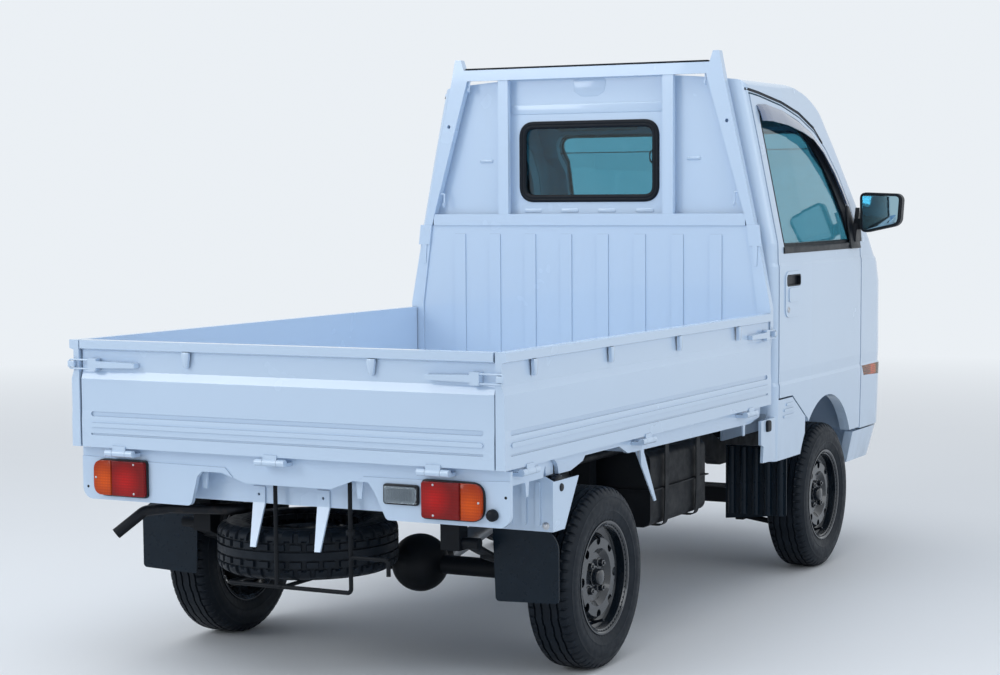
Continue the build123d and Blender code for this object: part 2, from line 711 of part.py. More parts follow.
def right_knuckle():
    """Steering knuckle: upright on the steering axis, brake drum and hub end."""
    outer = TRACK_HALF + DISC_OFFSET + 14
    body = rod_between(axis_point(BALL_Z + 6), axis_point(KNUCKLE_TOP_Z), 16)
    body += x_cylinder(-538, -590, FRONT_AXLE_Y, TYRE_R, DRUM_R)
    body += x_cylinder(-520, -outer, FRONT_AXLE_Y, TYRE_R, HUB_R)
    return body


# Hanging pieces: the white guard plates, the rubber flaps under them and the stays before the rear wheels
GUARD_PLATE_Y = REAR_AXLE_Y + 345.0
GUARD_X = (505.0, 676.0)
GUARD_Z = (440.0, 590.0)
GUARD_SHEET = 4.0
GUARD_RIBS = (545.0, 590.0, 632.0)
GUARD_RIB_W = 14.0
GUARD_RIB_OUT = 5.0
GUARD_FLANGE = (68.0, 158.0)
FLAP_THICK = 5.0
FLAP_X = (490.0, 690.0)
FLAP_BOTTOM = 238.0
FLAP_ROUND = 60.0
STAY_FOOT_Y = REAR_AXLE_Y - 300.0
STAY_TIP = (REAR_AXLE_Y - 409.0, 426.0)
FRONT_STAY_X = SILL_X - 12.0


def mudguards():
    """Pressed guard plates behind the rear wheels, each with a flange beside the wheel and a stay before it."""
    y = GUARD_PLATE_Y
    inner, outer = GUARD_X
    low, high = GUARD_Z
    outline = [(inner, low), (outer, low), (outer, high - 12), (outer - 26, high), (inner, high)]
    body = front_prism(outline, y, y + GUARD_SHEET)
    for x in GUARD_RIBS:
        rib = Pos(x, (low + high) / 2) * SlotOverall(high - low - 30, GUARD_RIB_W, rotation=90)
        body += front_cut(rib, y + GUARD_SHEET - 1, y + GUARD_SHEET + GUARD_RIB_OUT)
    short, long = GUARD_FLANGE
    flange = [(y + GUARD_SHEET, low), (y - short, low), (y - long, high - 14), (y + GUARD_SHEET, high - 14)]
    body += side_prism(flange, outer - GUARD_SHEET, outer)
    foot, (tip_y, tip_z) = STAY_FOOT_Y, STAY_TIP
    stay = [(foot + 30, RAIL_TOP), (foot + 30, RAIL_TOP - 5), (tip_y + 9, tip_z), (tip_y - 5, tip_z + 2),
            (foot - 22, RAIL_TOP - 7), (foot - 22, RAIL_TOP)]
    body += side_prism(stay, FRONT_STAY_X - GUARD_SHEET, FRONT_STAY_X)
    return both_sides(body)


def mudflaps():
    """Rubber flaps in front of the guard plates, rounded at the outer upper corner."""
    y = GUARD_PLATE_Y - FLAP_THICK
    inner, outer = FLAP_X
    high = GUARD_Z[0] + 8
    outline = [(inner, high), (outer, high), (outer, FLAP_BOTTOM + 7), (inner + 8, FLAP_BOTTOM)]
    body = front_cut(round_corners(outline, [(1, FLAP_ROUND), (2, 12.0), (3, 12.0)]), y, y + FLAP_THICK)
    return both_sides(body)


TANK_SET = 917.0
TANK_L = 440.0
TANK_X = (390.0, 600.0)
TANK_Z = (330.0, 560.0)
TANK_R = 28.0
TANK_FLANGE = 9.0


def fuel_tank():
    """Tank between the wheels on the right, with the filler pipe and its cap seat."""
    front = REAR_AXLE_Y - TANK_SET
    tank = block(-TANK_X[1], -TANK_X[0], front, front + TANK_L, *TANK_Z)
    tank = fillet(tank.edges().filter_by(Axis.Y), TANK_R)
    seam = (TANK_Z[0] + TANK_Z[1]) / 2
    tank += block(-TANK_X[1] - TANK_FLANGE, -TANK_X[0] + TANK_FLANGE, front - TANK_FLANGE, front + TANK_L + TANK_FLANGE,
                  seam - 2, seam + 2)
    start = front + TANK_L - 40
    neck_y = NOTCH_Y - 30
    pipe = wire_rod([(-515, start, TANK_Z[1] - 20), (-515, start, 572), (-515, neck_y, 572), (-650, neck_y, 556)], 14, 13)
    cap = x_cylinder(-662, -640, neck_y, 556, 30)
    return tank + pipe + cap


SILENCER_R = 62.0
SILENCER_L = 380.0
PIPE_R = 16.0
PIPE_BORE_L = 50.0
PIPE_TIP = (608.0, TAIL_Y - 80.0, 383.0)


def exhaust():
    """Silencer and the tail pipe that leaves at the left rear."""
    y = REAR_AXLE_Y
    silencer = Pos(200, y - 417, 400) * Rot(90, 0, 0) * Cylinder(SILENCER_R, SILENCER_L)
    silencer = chamfer(silencer.edges(), 8)
    rear = [(200, y - 277, 400), (200, y - 117, 455), (255, y + 23, 462), (255, y + 473, 462),
            (468, y + 508, 458), (545, y + 529, 446), PIPE_TIP]
    front = [(200, y - 597, 400), (200, y - 777, 400), (150, y - 1017, 420), (150, y - 1037, 420)]
    body = silencer + wire_rod(rear, 34, PIPE_R) + wire_rod(front, 30, PIPE_R)
    bore = Vector(*rear[-2]) - Vector(*PIPE_TIP)
    inside = Vector(*PIPE_TIP) + bore.normalized() * PIPE_BORE_L
    return body - rod_between(PIPE_TIP, tuple(inside), PIPE_R - 2)


SPARE = (130.0, REAR_AXLE_Y + 308.0, 352.0)


def spare_wheel():
    """Spare wheel lying flat under the bed."""
    place = Pos(*SPARE) * Rot(0, 90, 0)
    return place * tyre() + place * rim()


CARRIER_R = 6.0
CARRIER_X = (40.0, 220.0)
CARRIER_GAP = 6.0
CARRIER_HOOK_X = 60.0
CARRIER_BOLT = (-180.0, 372.0)
CROSS_MEMBERS = ((-1500.0, CAB_RAIL_TOP), (-200.0, RAIL_TOP), (460.0, RAIL_TOP), (REAR_AXLE_Y + 173.0, RAIL_TOP))
CROSS_HALF_W = 25.0
CROSS_SET = 15.0


def spare_carrier():
    """Rod loop under the spare wheel, hung from a cross member and from the rear bearer."""
    front = SPARE[1] - TYRE_R - CARRIER_R - 1
    rear = SPARE[1] + TYRE_R + CARRIER_R + CARRIER_GAP
    low = SPARE[2] - TYRE_W / 2 - CARRIER_R
    above = SPARE[2] + TYRE_W / 2 + 4 * CARRIER_R
    member_y, member_top = CROSS_MEMBERS[-1]
    top = member_top - RAIL_H + CROSS_SET
    near, far = CARRIER_X
    points = [(near, member_y, top), (near, member_y, above), (near, front, above), (near, front, low),
              (near, rear, low), (far, rear, low), (far, front, low), (far, front, above), (far, member_y, above),
              (far, member_y, top)]
    loop = wire_rod(points, 2 * CARRIER_R, CARRIER_R)
    loop += rod_between((CARRIER_HOOK_X, rear, low), (CARRIER_HOOK_X, rear, RAIL_TOP), CARRIER_R)
    bolt_x, bolt_z = CARRIER_BOLT
    side = [(near, rear, low), (bolt_x, rear, low), (bolt_x, rear, bolt_z), (bolt_x - 118, rear, bolt_z),
            (bolt_x - 118, rear, bolt_z - 44)]
    loop += wire_rod(side, 2 * CARRIER_R, CARRIER_R)
    loop += rod_between((bolt_x, rear, bolt_z), (bolt_x, rear, RAIL_TOP), CARRIER_R)
    return loop + rod_between((bolt_x, rear, bolt_z + 60), (bolt_x, rear, bolt_z + 74), 2 * CARRIER_R)


SPLASH_X = (425.0, 650.0)
SPLASH_Y = -570.0
SPLASH_Z = (205.0, 466.0)
SPLASH_SHEET = 5.0
SPLASH_RIBS = 5


def splash_panels():
    """Ribbed guards behind the front wheels."""
    inner, outer = SPLASH_X
    low, high = SPLASH_Z
    outline = [(-outer, low + 22), (-inner, low), (-inner, high), (-outer, high)]
    body = front_prism(outline, SPLASH_Y, SPLASH_Y + SPLASH_SHEET)
    pitch = (outer - inner) / SPLASH_RIBS
    for i in range(SPLASH_RIBS):
        x = -outer + pitch * (i + 0.5)
        rib = Pos(x, SPLASH_Y + SPLASH_SHEET, (low + high) / 2 + 8) * Cylinder(pitch * 0.3, high - low - 24)
        body += rib
    front = block(-outer - 1, -inner + 1, SPLASH_Y - pitch, SPLASH_Y, low - 1, high + 1)
    return both_sides(body - front)


# Cab. The side has a ledge under the windows and a crease over the wheel arch.
LEDGE = 4.0
LEDGE_H = 12.0
LEDGE_Z = 1099.0
CREASE_Z = 696.0

# Plan sections by height: (height, half width, front, corner radius)
CAB_SECTIONS = (
    (CAB_BOTTOM - 12, 688.0, -1606.0, 150.0),
    (CREASE_Z, 694.0, -1616.0, 150.0),
    (CREASE_Z + LEDGE_H, 694.0 - LEDGE, -1616.0 + LEDGE, 150.0),
    (CREASE_Z + 4 * LEDGE_H, 691.5, -1615.0, 150.0),
    (1010.0, 692.0, -1610.0, 150.0),
    (1085.0, 691.5, -1566.0, 130.0),
    (LEDGE_Z, 691.5, -1550.5, 127.0),
    (LEDGE_Z + LEDGE_H, 691.5 - LEDGE, -1536.8, 123.0),
    (1176.0, 686.0, -1462.0, 105.0),
    (1506.0, 618.0, -1240.0, 85.0),
    (1800.0, 555.0, -1040.0, 85.0),
)
CAB_TAPER = 8.0
CAB_TAPER_Y = -700.0
CAB_REAR_R = 30.0
FRONT_BOW = 22.0


def plan_section(z, half, front, corner, rear, rear_r):
    """Closed plan outline of the cab at one height."""
    nose = half - CAB_TAPER
    k = 1 - math.sqrt(0.5)
    points = [
        Line((-half + rear_r, rear), (half - rear_r, rear)),
        ThreePointArc((half - rear_r, rear), (half - rear_r * k, rear - rear_r * k), (half, rear - rear_r)),
        Line((half, rear - rear_r), (half, CAB_TAPER_Y)),
        Line((half, CAB_TAPER_Y), (nose, front + corner)),
        ThreePointArc((nose, front + corner), (nose - corner * k, front + corner * k), (nose - corner, front)),
        ThreePointArc((nose - corner, front), (0, front - FRONT_BOW), (corner - nose, front)),
        ThreePointArc((corner - nose, front), (corner * k - nose, front + corner * k), (-nose, front + corner)),
        Line((-nose, front + corner), (-half, CAB_TAPER_Y)),
        Line((-half, CAB_TAPER_Y), (-half, rear - rear_r)),
        ThreePointArc((-half, rear - rear_r), (-half + rear_r * k, rear - rear_r * k), (-half + rear_r, rear)),
    ]
    edges = points[0]
    for edge in points[1:]:
        edges = edges + edge
    return Pos(0, 0, z) * make_face(edges)


def cab_body(inset, rear_inset):
    """Cab form, with every wall moved in by inset and the rear by rear_inset."""
    faces = []
    for z, half, front, corner in CAB_SECTIONS:
        faces.append(plan_section(z, half - inset, front + inset, corner - inset / 2, CAB_REAR_Y - rear_inset, CAB_REAR_R - inset / 2))
    body = loft(faces, ruled=True)
    top = ROOF_Z - inset
    rear = CAB_REAR_Y + 60
    nose = inset * 0.8
    skyline = make_face(
        Line((rear, 300), (rear, top))
        + ThreePointArc((rear, top), (-640, top - 13), (-900 + nose, top - 52))
        + ThreePointArc((-900 + nose, top - 52), (-1075 + nose, top - 120), (-1190 + nose, top - 232))
        + Line((-1190 + nose, top - 232), (-1900, top - 700))
        + Line((-1900, top - 700), (-1900, 300))
        + Line((-1900, 300), (rear, 300))
    )
    plane = Plane(origin=(-800, 0, 0), x_dir=(0, 1, 0), z_dir=(1, 0, 0))
    body &= extrude(plane * skyline, 1600, dir=(1, 0, 0))
    edge = 578 - inset
    crown = make_face(
        ThreePointArc((-edge + 34, top - 30), (0, top), (edge - 34, top - 30))
        + ThreePointArc((edge - 34, top - 30), (edge - 8, top - 42), (edge + 2, top - 70))
        + Line((edge + 2, top - 70), (900, top - 700))
        + Line((900, top - 700), (900, 300))
        + Line((900, 300), (-900, 300))
        + Line((-900, 300), (-900, top - 700))
        + Line((-900, top - 700), (-edge - 2, top - 70))
        + ThreePointArc((-edge - 2, top - 70), (-edge + 8, top - 42), (-edge + 34, top - 30))
    )
    plane = Plane(origin=(0, 0, 0), x_dir=(1, 0, 0), z_dir=(0, -1, 0))
    body &= extrude(plane * crown, 1900, dir=(0, -1, 0))
    return body


# Door outline as (y, z), clockwise from the lower rear corner
DOOR_OUTLINE = (
    (DOOR_REAR_Y, 655.0),
    (DOOR_REAR_Y, 1678.0),
    (-455.0, 1672.0),
    (-664.0, 1645.0),
    (-834.0, 1609.0),
    (-970.0, 1561.0),
    (-1062.0, 1502.0),
    (-1150.0, 1410.0),
    (-1216.0, 1300.0),
    (DOOR_FRONT_Y, 1165.0),
    (DOOR_FRONT_Y, DOOR_BOTTOM),
    (-1100.0, DOOR_BOTTOM),
    (-700.0, 520.0),
    (-668.0, 560.0),
    (-505.0, 655.0),
)
WINDOW_OUTLINE = (
    (-430.0, BELT_Z),
    (-430.0, 1600.0),
    (-470.0, 1635.0),
    (-664.0, 1614.0),
    (-820.0, 1580.0),
    (-944.0, 1534.0),
    (-1026.0, 1480.0),
    (-1110.0, 1392.0),
    (-1172.0, 1290.0),
    (-1215.0, BELT_Z),
)
SCREEN_OUTLINE = ((-590.0, 1105.0), (590.0, 1105.0), (500.0, 1575.0), (-500.0, 1575.0))
BACK_WINDOW = (255.0, 1332.0, 1588.0, 40.0)
WINDOW_ROUNDS = ((0, 22.0), (1, 26.0), (9, 16.0))
SCREEN_ROUNDS = ((0, 60.0), (1, 60.0), (2, 70.0), (3, 70.0))


def grown(points, distance):
    """Solid outline moved outwards on every side, as a sketch in its own plane."""
    return offset(Polygon(*points, align=None), distance, kind=Kind.INTERSECTION)


def cut_prism(sketch, x0, x1):
    """Prism along X of a sketch drawn as (y, z)."""
    plane = Plane(origin=(x0, 0, 0), x_dir=(0, 1, 0), z_dir=(1, 0, 0))
    return extrude(plane * sketch, x1 - x0, dir=(1, 0, 0))


def door_pocket(z):
    """Room in the right door for one hinge's arms, open to the front and to the inside."""
    half = DOOR_KNUCKLE_H / 2 + DOOR_BARREL_H + DOOR_PIN_R + MOVE_GAP
    return block(-DOOR_AXIS_X - DOOR_BARREL_R - 3, -DOOR_AXIS_X + 45, DOOR_FRONT_Y - 20, DOOR_AXIS_Y + 12, z - half, z + half)


def door_knuckle(z):
    """Middle barrel of a hinge with its leaf back into the right door."""
    half = DOOR_KNUCKLE_H / 2
    body = Pos(-DOOR_AXIS_X, DOOR_AXIS_Y, z) * Cylinder(DOOR_BARREL_R, DOOR_KNUCKLE_H)
    return body + block(-DOOR_AXIS_X - 5, -DOOR_AXIS_X + 5, DOOR_AXIS_Y, DOOR_AXIS_Y + 13, z - half, z + half)


def pillar_hinge(z):
    """Pin, end barrels and the two bent arms that reach round to the right pillar."""
    body = Pos(-DOOR_AXIS_X, DOOR_AXIS_Y, z) * Cylinder(DOOR_PIN_R, DOOR_KNUCKLE_H + 2 * DOOR_BARREL_H + 1)
    arm_x0 = -DOOR_AXIS_X + DOOR_ARM_IN
    arm_x1 = arm_x0 + DOOR_ARM_W
    foot_y = DOOR_FRONT_Y - DOOR_FRONT_GAP - 3
    for side in (-1, 1):
        near = z + side * (DOOR_KNUCKLE_H / 2 + 0.5)
        far = near + side * DOOR_BARREL_H
        low = min(near, far)
        high = max(near, far)
        body += Pos(-DOOR_AXIS_X, DOOR_AXIS_Y, (near + far) / 2) * Cylinder(DOOR_BARREL_R, DOOR_BARREL_H)
        body += block(-DOOR_AXIS_X, arm_x1, DOOR_AXIS_Y - 4, DOOR_AXIS_Y + 4, low, high)
        body += block(arm_x0, arm_x1, foot_y - 18, DOOR_AXIS_Y + 4, low, high)
        body += block(arm_x0 - 13, arm_x1, foot_y - 18, foot_y, low, high)
    return body


# Door handle, as (y, z): raised pad, cup and pull
PROUD = 4.0
HANDLE_Y = -507.0
PAD_Z = (924.0, 1080.0)
PAD_HALF = 80.0
PAD_R = 32.0
CUP_Z = (1029.0, 1069.0)
CUP_HALF = 70.0
CUP_DEPTH = 14.0
PULL_Z = (976.0, 1024.0)
PULL_HALF = 54.0

# Louvres under the door's rear edge, as (rear y, front y, height)
LOUVRES = ((-442.0, -508.0, 628.0), (-420.0, -518.0, 609.0), (-417.0, -522.0, 588.0))
LOUVRE_H = 9.0

# Rain gutter on the roof's side, as (y, z) of its lower edge
DRIP_LINE = ((CAB_REAR_Y - 12, 1699.0), (-455.0, 1690.0), (-664.0, 1664.0), (-834.0, 1631.0), (-976.0, 1580.0))
DRIP_H = 8.0

# Side skirt that runs on behind the cab, under the bed's sill, as (y, z)
SKIRT = ((-436.0, 592.0), (-222.0, 592.0), (-222.0, 512.0), (-244.0, 505.0), (-238.0, 450.0), (-436.0, 446.0))
SKIRT_X = (676.0, 686.0)

# Front panel: sunk band with two air slots between the head lamps
HEAD_MID = (481.0, 666.0)
HEAD_SIZE = (218.0, 136.0)
HEAD_R = 20.0
BAND_HALF = 354.0
BAND_Z = (628.0, 708.0)
BAND_SET = 6.0
BAND_R = 18.0
SLOT_HALF = 240.0
SLOT_H = 13.0
SLOT_Z = (652.0, 684.0)
SLOT_DEPTH = 22.0

# Bumper: intake with two bars
INTAKE_HALF = 300.0
INTAKE_Z = (372.0, 428.0)
INTAKE_R = 24.0
INTAKE_BARS = (388.0, 407.0)
INTAKE_BAR_H = 6.0


def slot_face(length, height, x, z):
    """Slot with round ends about a point."""
    return Pos(x, z) * SlotOverall(length, height)


def rounded_face(half, z0, z1, radius, x=0.0):
    """Rounded rectangle about x, between two heights."""
    return Pos(x, (z0 + z1) / 2) * RectangleRounded(2 * half, z1 - z0, radius)


def louvre_face(rear, front, z):
    """One louvre, as (y, z)."""
    return slot_face(rear - front, LOUVRE_H, (rear + front) / 2, z)


os.makedirs("parts", exist_ok=True)

# Wheels and what carries them
TYRE = tyre()
RIM = rim()
for corner, side, y in (("rear_left", 1, REAR_AXLE_Y), ("rear_right", -1, REAR_AXLE_Y),
                        ("front_left", 1, FRONT_AXLE_Y), ("front_right", -1, FRONT_AXLE_Y)):
    save("tyre_" + corner, wheel_place(side, y) * TYRE)
    save("rim_" + corner, wheel_place(side, y) * RIM)
KNUCKLE = right_knuckle()
save("knuckle_right", KNUCKLE)
save("knuckle_left", mirror(KNUCKLE, Plane.YZ))
save("rear_axle", rear_axle())
save("front_beam", front_beam())
save("chassis_frame", chassis_frame())
save("engine_block", engine_block())
save("propshaft", propshaft())
save("fuel_tank", fuel_tank())
save("exhaust", exhaust())
save("spare_wheel", spare_wheel())
save("spare_carrier", spare_carrier())

# Bed
RIGHT_GATE = right_gate()
save("tail_gate", tail_gate())
save("tail_latches", tail_latches())
RIGHT_LATCH = right_latch()
save("side_latch_right", RIGHT_LATCH)
save("side_latch_left", mirror(RIGHT_LATCH, Plane.YZ))
save("side_gate_right", RIGHT_GATE)
save("side_gate_left", mirror(RIGHT_GATE, Plane.YZ))
save("bed_floor", bed_floor())
save("side_sill_right", right_sill(True))
save("side_sill_left", mirror(right_sill(False), Plane.YZ))
save("rear_sill", rear_sill())
save("rear_beam", rear_beam())
save("headboard", headboard())
save("guard_frame", guard_frame())
save("mudguards", mudguards())
save("mudflaps", mudflaps())
save("splash_panels", splash_panels())

# Cab shell and its division
OUTER = cab_body(0, 0)
INNER = cab_body(WALL, BACK_WALL)
INNER_LONG = cab_body(WALL, -100)
RING = OUTER - INNER
ARCH = x_cylinder(-900, 900, ARCH_Y, ARCH_Z, ARCH_R) + block(-900, 900, ARCH_Y - ARCH_R, ARCH_Y + 240, 100, ARCH_Z)
DOOR_CUT = cut_prism(Polygon(*DOOR_OUTLINE, align=None), -900, 900) - ARCH
OPENING = cut_prism(grown(DOOR_OUTLINE, SEAM), -900, 900) + block(-900, 900, DOOR_REAR_Y, DOOR_REAR_Y + DOOR_REAR_GAP, 651, 1684)
OPENING += block(-900, 900, DOOR_FRONT_Y - DOOR_FRONT_GAP, DOOR_FRONT_Y, DOOR_BOTTOM - SEAM, 1165)
OPENING = OPENING - block(-900, 900, -1300, -300, 100, DOOR_BOTTOM - SEAM)
WINDOW_CUT = cut_prism(round_corners(WINDOW_OUTLINE, WINDOW_ROUNDS), -900, 900)
ROOF_PART = side_prism([(-200, 1650), (-700, 1590), (-985, 1530), (-1010, 1594), (-1500, 1594), (-1500, 1900), (-200, 1900)], -900, 900)
SCREEN_CUT = front_cut(round_corners(SCREEN_OUTLINE, SCREEN_ROUNDS), -1900, -1000)
BW_HALF, BW_LOW, BW_HIGH, BW_R = BACK_WINDOW
BACK_CUT_PLANE = Plane(origin=(0, -250, (BW_LOW + BW_HIGH) / 2), x_dir=(1, 0, 0), z_dir=(0, -1, 0))
BACK_CUT = extrude(BACK_CUT_PLANE * RectangleRounded(2 * BW_HALF, BW_HIGH - BW_LOW, BW_R), 300)

PROUD_SHELL = cab_body(-PROUD, 0) - OUTER
DOORS = (RING & DOOR_CUT) - WINDOW_CUT
DOOR_SOLIDS = DOORS.solids().sort_by(Axis.X)
RIGHT_DOOR = DOOR_SOLIDS[0]
for z in DOOR_HINGES:
    RIGHT_DOOR = RIGHT_DOOR - door_pocket(z) + door_knuckle(z)
    RIGHT_DOOR -= Pos(-DOOR_AXIS_X, DOOR_AXIS_Y, z) * Cylinder(DOOR_PIN_R + RUNNING_GAP, DOOR_KNUCKLE_H + 2)
PAD = cut_prism(rounded_face(PAD_HALF, *PAD_Z, PAD_R, HANDLE_Y), -900, -600)
CUP = cut_prism(rounded_face(CUP_HALF, *CUP_Z, 12, HANDLE_Y), -900, -600)
PULL = cut_prism(rounded_face(PULL_HALF, *PULL_Z, 12, HANDLE_Y), -900, -600)
RIGHT_DOOR += PROUD_SHELL & PAD
RIGHT_DOOR -= (OUTER - cab_body(CUP_DEPTH, CUP_DEPTH)) & CUP
RIGHT_DOOR -= PROUD_SHELL & CUP
RIGHT_DOOR += (cab_body(-2 * PROUD, 0) - OUTER) & PULL
save("door_right", RIGHT_DOOR)
save("door_left", mirror(RIGHT_DOOR, Plane.YZ))

LOW_CUT = block(-900, 900, -1300, 200, 0, CAB_BOTTOM)
SIDES = RING - OPENING - ROOF_PART - ARCH - LOW_CUT - block(-900, 900, -2000, -640, 0, 2000)
BACK = SIDES & INNER_LONG
SIDES = SIDES - INNER_LONG
save("cab_back", BACK - BACK_CUT - block(-900, 900, -500, 0, 0, BACK_BOTTOM))
RIGHT_SIDE = SIDES.solids().sort_by(Axis.X)[0]
for louvre in LOUVRES:
    RIGHT_SIDE += PROUD_SHELL & cut_prism(louvre_face(*louvre), -900, -600)
RIGHT_SIDE += side_prism(SKIRT, -SKIRT_X[1], -SKIRT_X[0])
save("cab_side_right", RIGHT_SIDE)
save("cab_side_left", mirror(RIGHT_SIDE, Plane.YZ))

ROOF = (RING & ROOF_PART) - OPENING
DRIP_OUTLINE = list(DRIP_LINE) + [(y, z + DRIP_H) for y, z in reversed(DRIP_LINE)]
ROOF += (PROUD_SHELL - cab_body(0, 0)) & side_prism(DRIP_OUTLINE, -900, 900)
save("cab_roof", ROOF)

FRONT = RING - OPENING - ROOF_PART - ARCH - block(-900, 900, -985, 200, 0, 2000) - SCREEN_CUT
FRONT = FRONT - block(-900, 900, -2000, 200, 0, BUMPER_TOP + SEAM)
LENS = 20.0
LENS_SHELL = OUTER - cab_body(LENS, LENS)
HEAD_PLACE = Pos(-HEAD_MID[0], HEAD_MID[1])
HEAD = front_cut(HEAD_PLACE * RectangleRounded(*HEAD_SIZE, HEAD_R), -1900, -1300)
TURN = side_prism([(-1276, 700), (-1300, 663), (-1900, 640), (-1900, 700)], -900, -592)
LAMPS = both_sides((LENS_SHELL & HEAD) + (LENS_SHELL & TURN))
FRONT = FRONT - both_sides(HEAD) - both_sides(TURN)
BAND = front_cut(rounded_face(BAND_HALF, *BAND_Z, BAND_R), -1900, -1300)
FRONT -= (OUTER - cab_body(BAND_SET, BAND_SET)) & BAND
SLOT_SHELL = OUTER - cab_body(SLOT_DEPTH, SLOT_DEPTH)
for z in SLOT_Z:
    FRONT -= SLOT_SHELL & front_cut(slot_face(2 * SLOT_HALF, SLOT_H, 0, z), -1900, -1300)
for z in DOOR_HINGES:
    FRONT += both_sides(pillar_hinge(z))
save("cab_front", FRONT)
save("front_lamps", LAMPS)

GLASS_SHELL = cab_body(GLASS_SET, GLASS_SET - 4) - cab_body(GLASS_SET + GLASS, GLASS_SET - 4 + GLASS)
SCREEN = GLASS_SHELL & SCREEN_CUT
BACK_GLASS = GLASS_SHELL & BACK_CUT
save("cab_glass", Compound(children=list(SCREEN.solids()) + list(BACK_GLASS.solids())))
DOOR_GLASS = (GLASS_SHELL & WINDOW_CUT).solids().sort_by(Axis.X)
save("door_glass_right", DOOR_GLASS[0])
save("door_glass_left", DOOR_GLASS[-1])

# Bumper, from two plan sections
BUMPER = loft([plan_section(BUMPER_BOTTOM, 664, -1600, 190, -600, 5), plan_section(BUMPER_TOP, 688, -1625.5, 190, -600, 5)],
              ruled=True)
BUMPER_IN = loft([plan_section(BUMPER_BOTTOM - 5, 634, -1570, 160, -600, 5),
                  plan_section(BUMPER_TOP + 5, 658, -1595.5, 160, -600, 5)], ruled=True)
BUMPER = BUMPER - BUMPER_IN - ARCH - block(-900, 900, ARCH_Y - ARCH_R, 0, 0, 2000)
INTAKE = front_cut(rounded_face(INTAKE_HALF, *INTAKE_Z, INTAKE_R), -1900, -1300)
BARS = BUMPER & INTAKE
BARS = group([BARS & block(-900, 900, -1900, -1300, z, z + INTAKE_BAR_H) for z in INTAKE_BARS])
BUMPER = BUMPER - INTAKE + BARS
save("front_bumper", BUMPER)

# Cab floor: footwell, step up, seat base and wheel housings
IN_X = 688 - WALL - DOOR_SWEEP_IN
FLOOR_PATH = [
    (CAB_REAR_Y - BACK_WALL, SEAT_BASE_Z),
    (-1212, SEAT_BASE_Z),
    (-1212, 484),
    (-1560, 484),
    (-1560, 474),
    (-1202, 474),
    (-1202, SEAT_BASE_Z - SHEET),
    (CAB_REAR_Y - BACK_WALL, SEAT_BASE_Z - SHEET),
]
FLOOR = side_prism(FLOOR_PATH, -IN_X, IN_X)
FLOOR += both_sides(block(-400, -390, -1205, -600, 474, SEAT_BASE_Z - 1))
CAVITY = cab_body(WALL + 1, BACK_WALL + 1)
FLOOR = FLOOR & CAVITY
LEVER_FOOT = SEAT_BASE_Z - SHEET / 2
FLOOR += wire_rod([(-30, -1150, LEVER_FOOT), (-30, -1150, 720), (-52, -1100, 860)], 30, 7)
FLOOR += Pos(-52, -1100, 872) * Sphere(22)
FLOOR += wire_rod([(25, -800, LEVER_FOOT), (25, -840, 672), (25, -1030, 716)], 20, 10)
save("cab_floor", FLOOR)

# Dashboard with the column and the pedals, seats and steering wheel
PEDALS = ((-430.0, 32.0), (-250.0, 32.0), (-165.0, 22.0))
DASH = side_prism([(-1560, 820), (-1560, 1062), (-1440, 1075), (-1330, 1040), (-1300, 960), (-1330, 850)], -600, 600)
WHEEL_CENTRE = (-325.0, -1120.0, 1020.0)
COLUMN_FOOT = (-325.0, -1430.0, 600.0)
COLUMN_AXIS = Vector(*WHEEL_CENTRE) - Vector(*COLUMN_FOOT)
COLUMN_DIR = COLUMN_AXIS.normalized()
COLUMN_TOP = Vector(*WHEEL_CENTRE) - COLUMN_DIR * 45
DASH = (DASH & CAVITY) + rod_between(COLUMN_FOOT, tuple(COLUMN_TOP), 26)
HOOD = block(-470, -180, -1400, -1262, 1030, 1100)
DASH += fillet(HOOD.edges().filter_by(Axis.X) + HOOD.edges().filter_by(Axis.Y), 14)
for x, half in PEDALS:
    DASH += rod_between((x, -1410, 840), (x, -1392, 575), 7)
    DASH += block(x - half, x + half, -1398, -1388, 530, 590)
save("dashboard", DASH)
WHEEL_PLANE = Plane(origin=WHEEL_CENTRE, z_dir=COLUMN_DIR)
STEER = WHEEL_PLANE * Torus(180, 13)
STEER += WHEEL_PLANE * Pos(0, 0, -12) * Cylinder(46, 34)
for angle in (90, 210, 330):
    STEER += WHEEL_PLANE * Rot(0, 0, angle) * Pos(105, 0, -6) * Box(150, 28, 12)
save("steering_wheel", STEER)


def seat(x0, x1):
    """Cushion and backrest."""
    cushion = block(x0, x1, -960, -470, 642, 765)
    back = side_prism([(-400, 765), (-500, 765), (-440, 1190), (-378, 1190)], x0, x1)
    return cushion + back


save("seats", seat(-610, -110) + seat(110, 610))

# Mirrors on the doors
MIRROR_REACH = 868.0
MIRROR_BACK_Y = -1180.0
MIRROR_DEPTH = 30.0
MIRROR_BOWL = 34.0
MIRROR_OUTLINE = ((-MIRROR_REACH, 1340.0), (-706.0, 1347.0), (-710.0, 1194.0), (-MIRROR_REACH + 8, 1226.0))
MIRROR_ROUNDS = ((0, 26.0), (1, 24.0), (2, 26.0), (3, 34.0))
MIRROR_FACE = round_corners(MIRROR_OUTLINE, MIRROR_ROUNDS)
MIRROR = front_cut(MIRROR_FACE, MIRROR_BACK_Y - MIRROR_DEPTH, MIRROR_BACK_Y)
MIRROR_PLANE = Plane(origin=(0, MIRROR_BACK_Y - MIRROR_DEPTH, 0), x_dir=(1, 0, 0), z_dir=(0, -1, 0))
MIRROR += extrude(MIRROR_PLANE * MIRROR_FACE, MIRROR_BOWL, taper=24)
MIRROR += block(-730, -680, -1232, -1200, 1210, 1250)
MIRROR += side_prism([(-1250, 1166), (-1180, 1166), (-1180, 1180), (-1222, 1290)], -692, -676)
MIRROR = MIRROR - OUTER
save("mirror_right", MIRROR)
save("mirror_left", mirror(MIRROR, Plane.YZ))

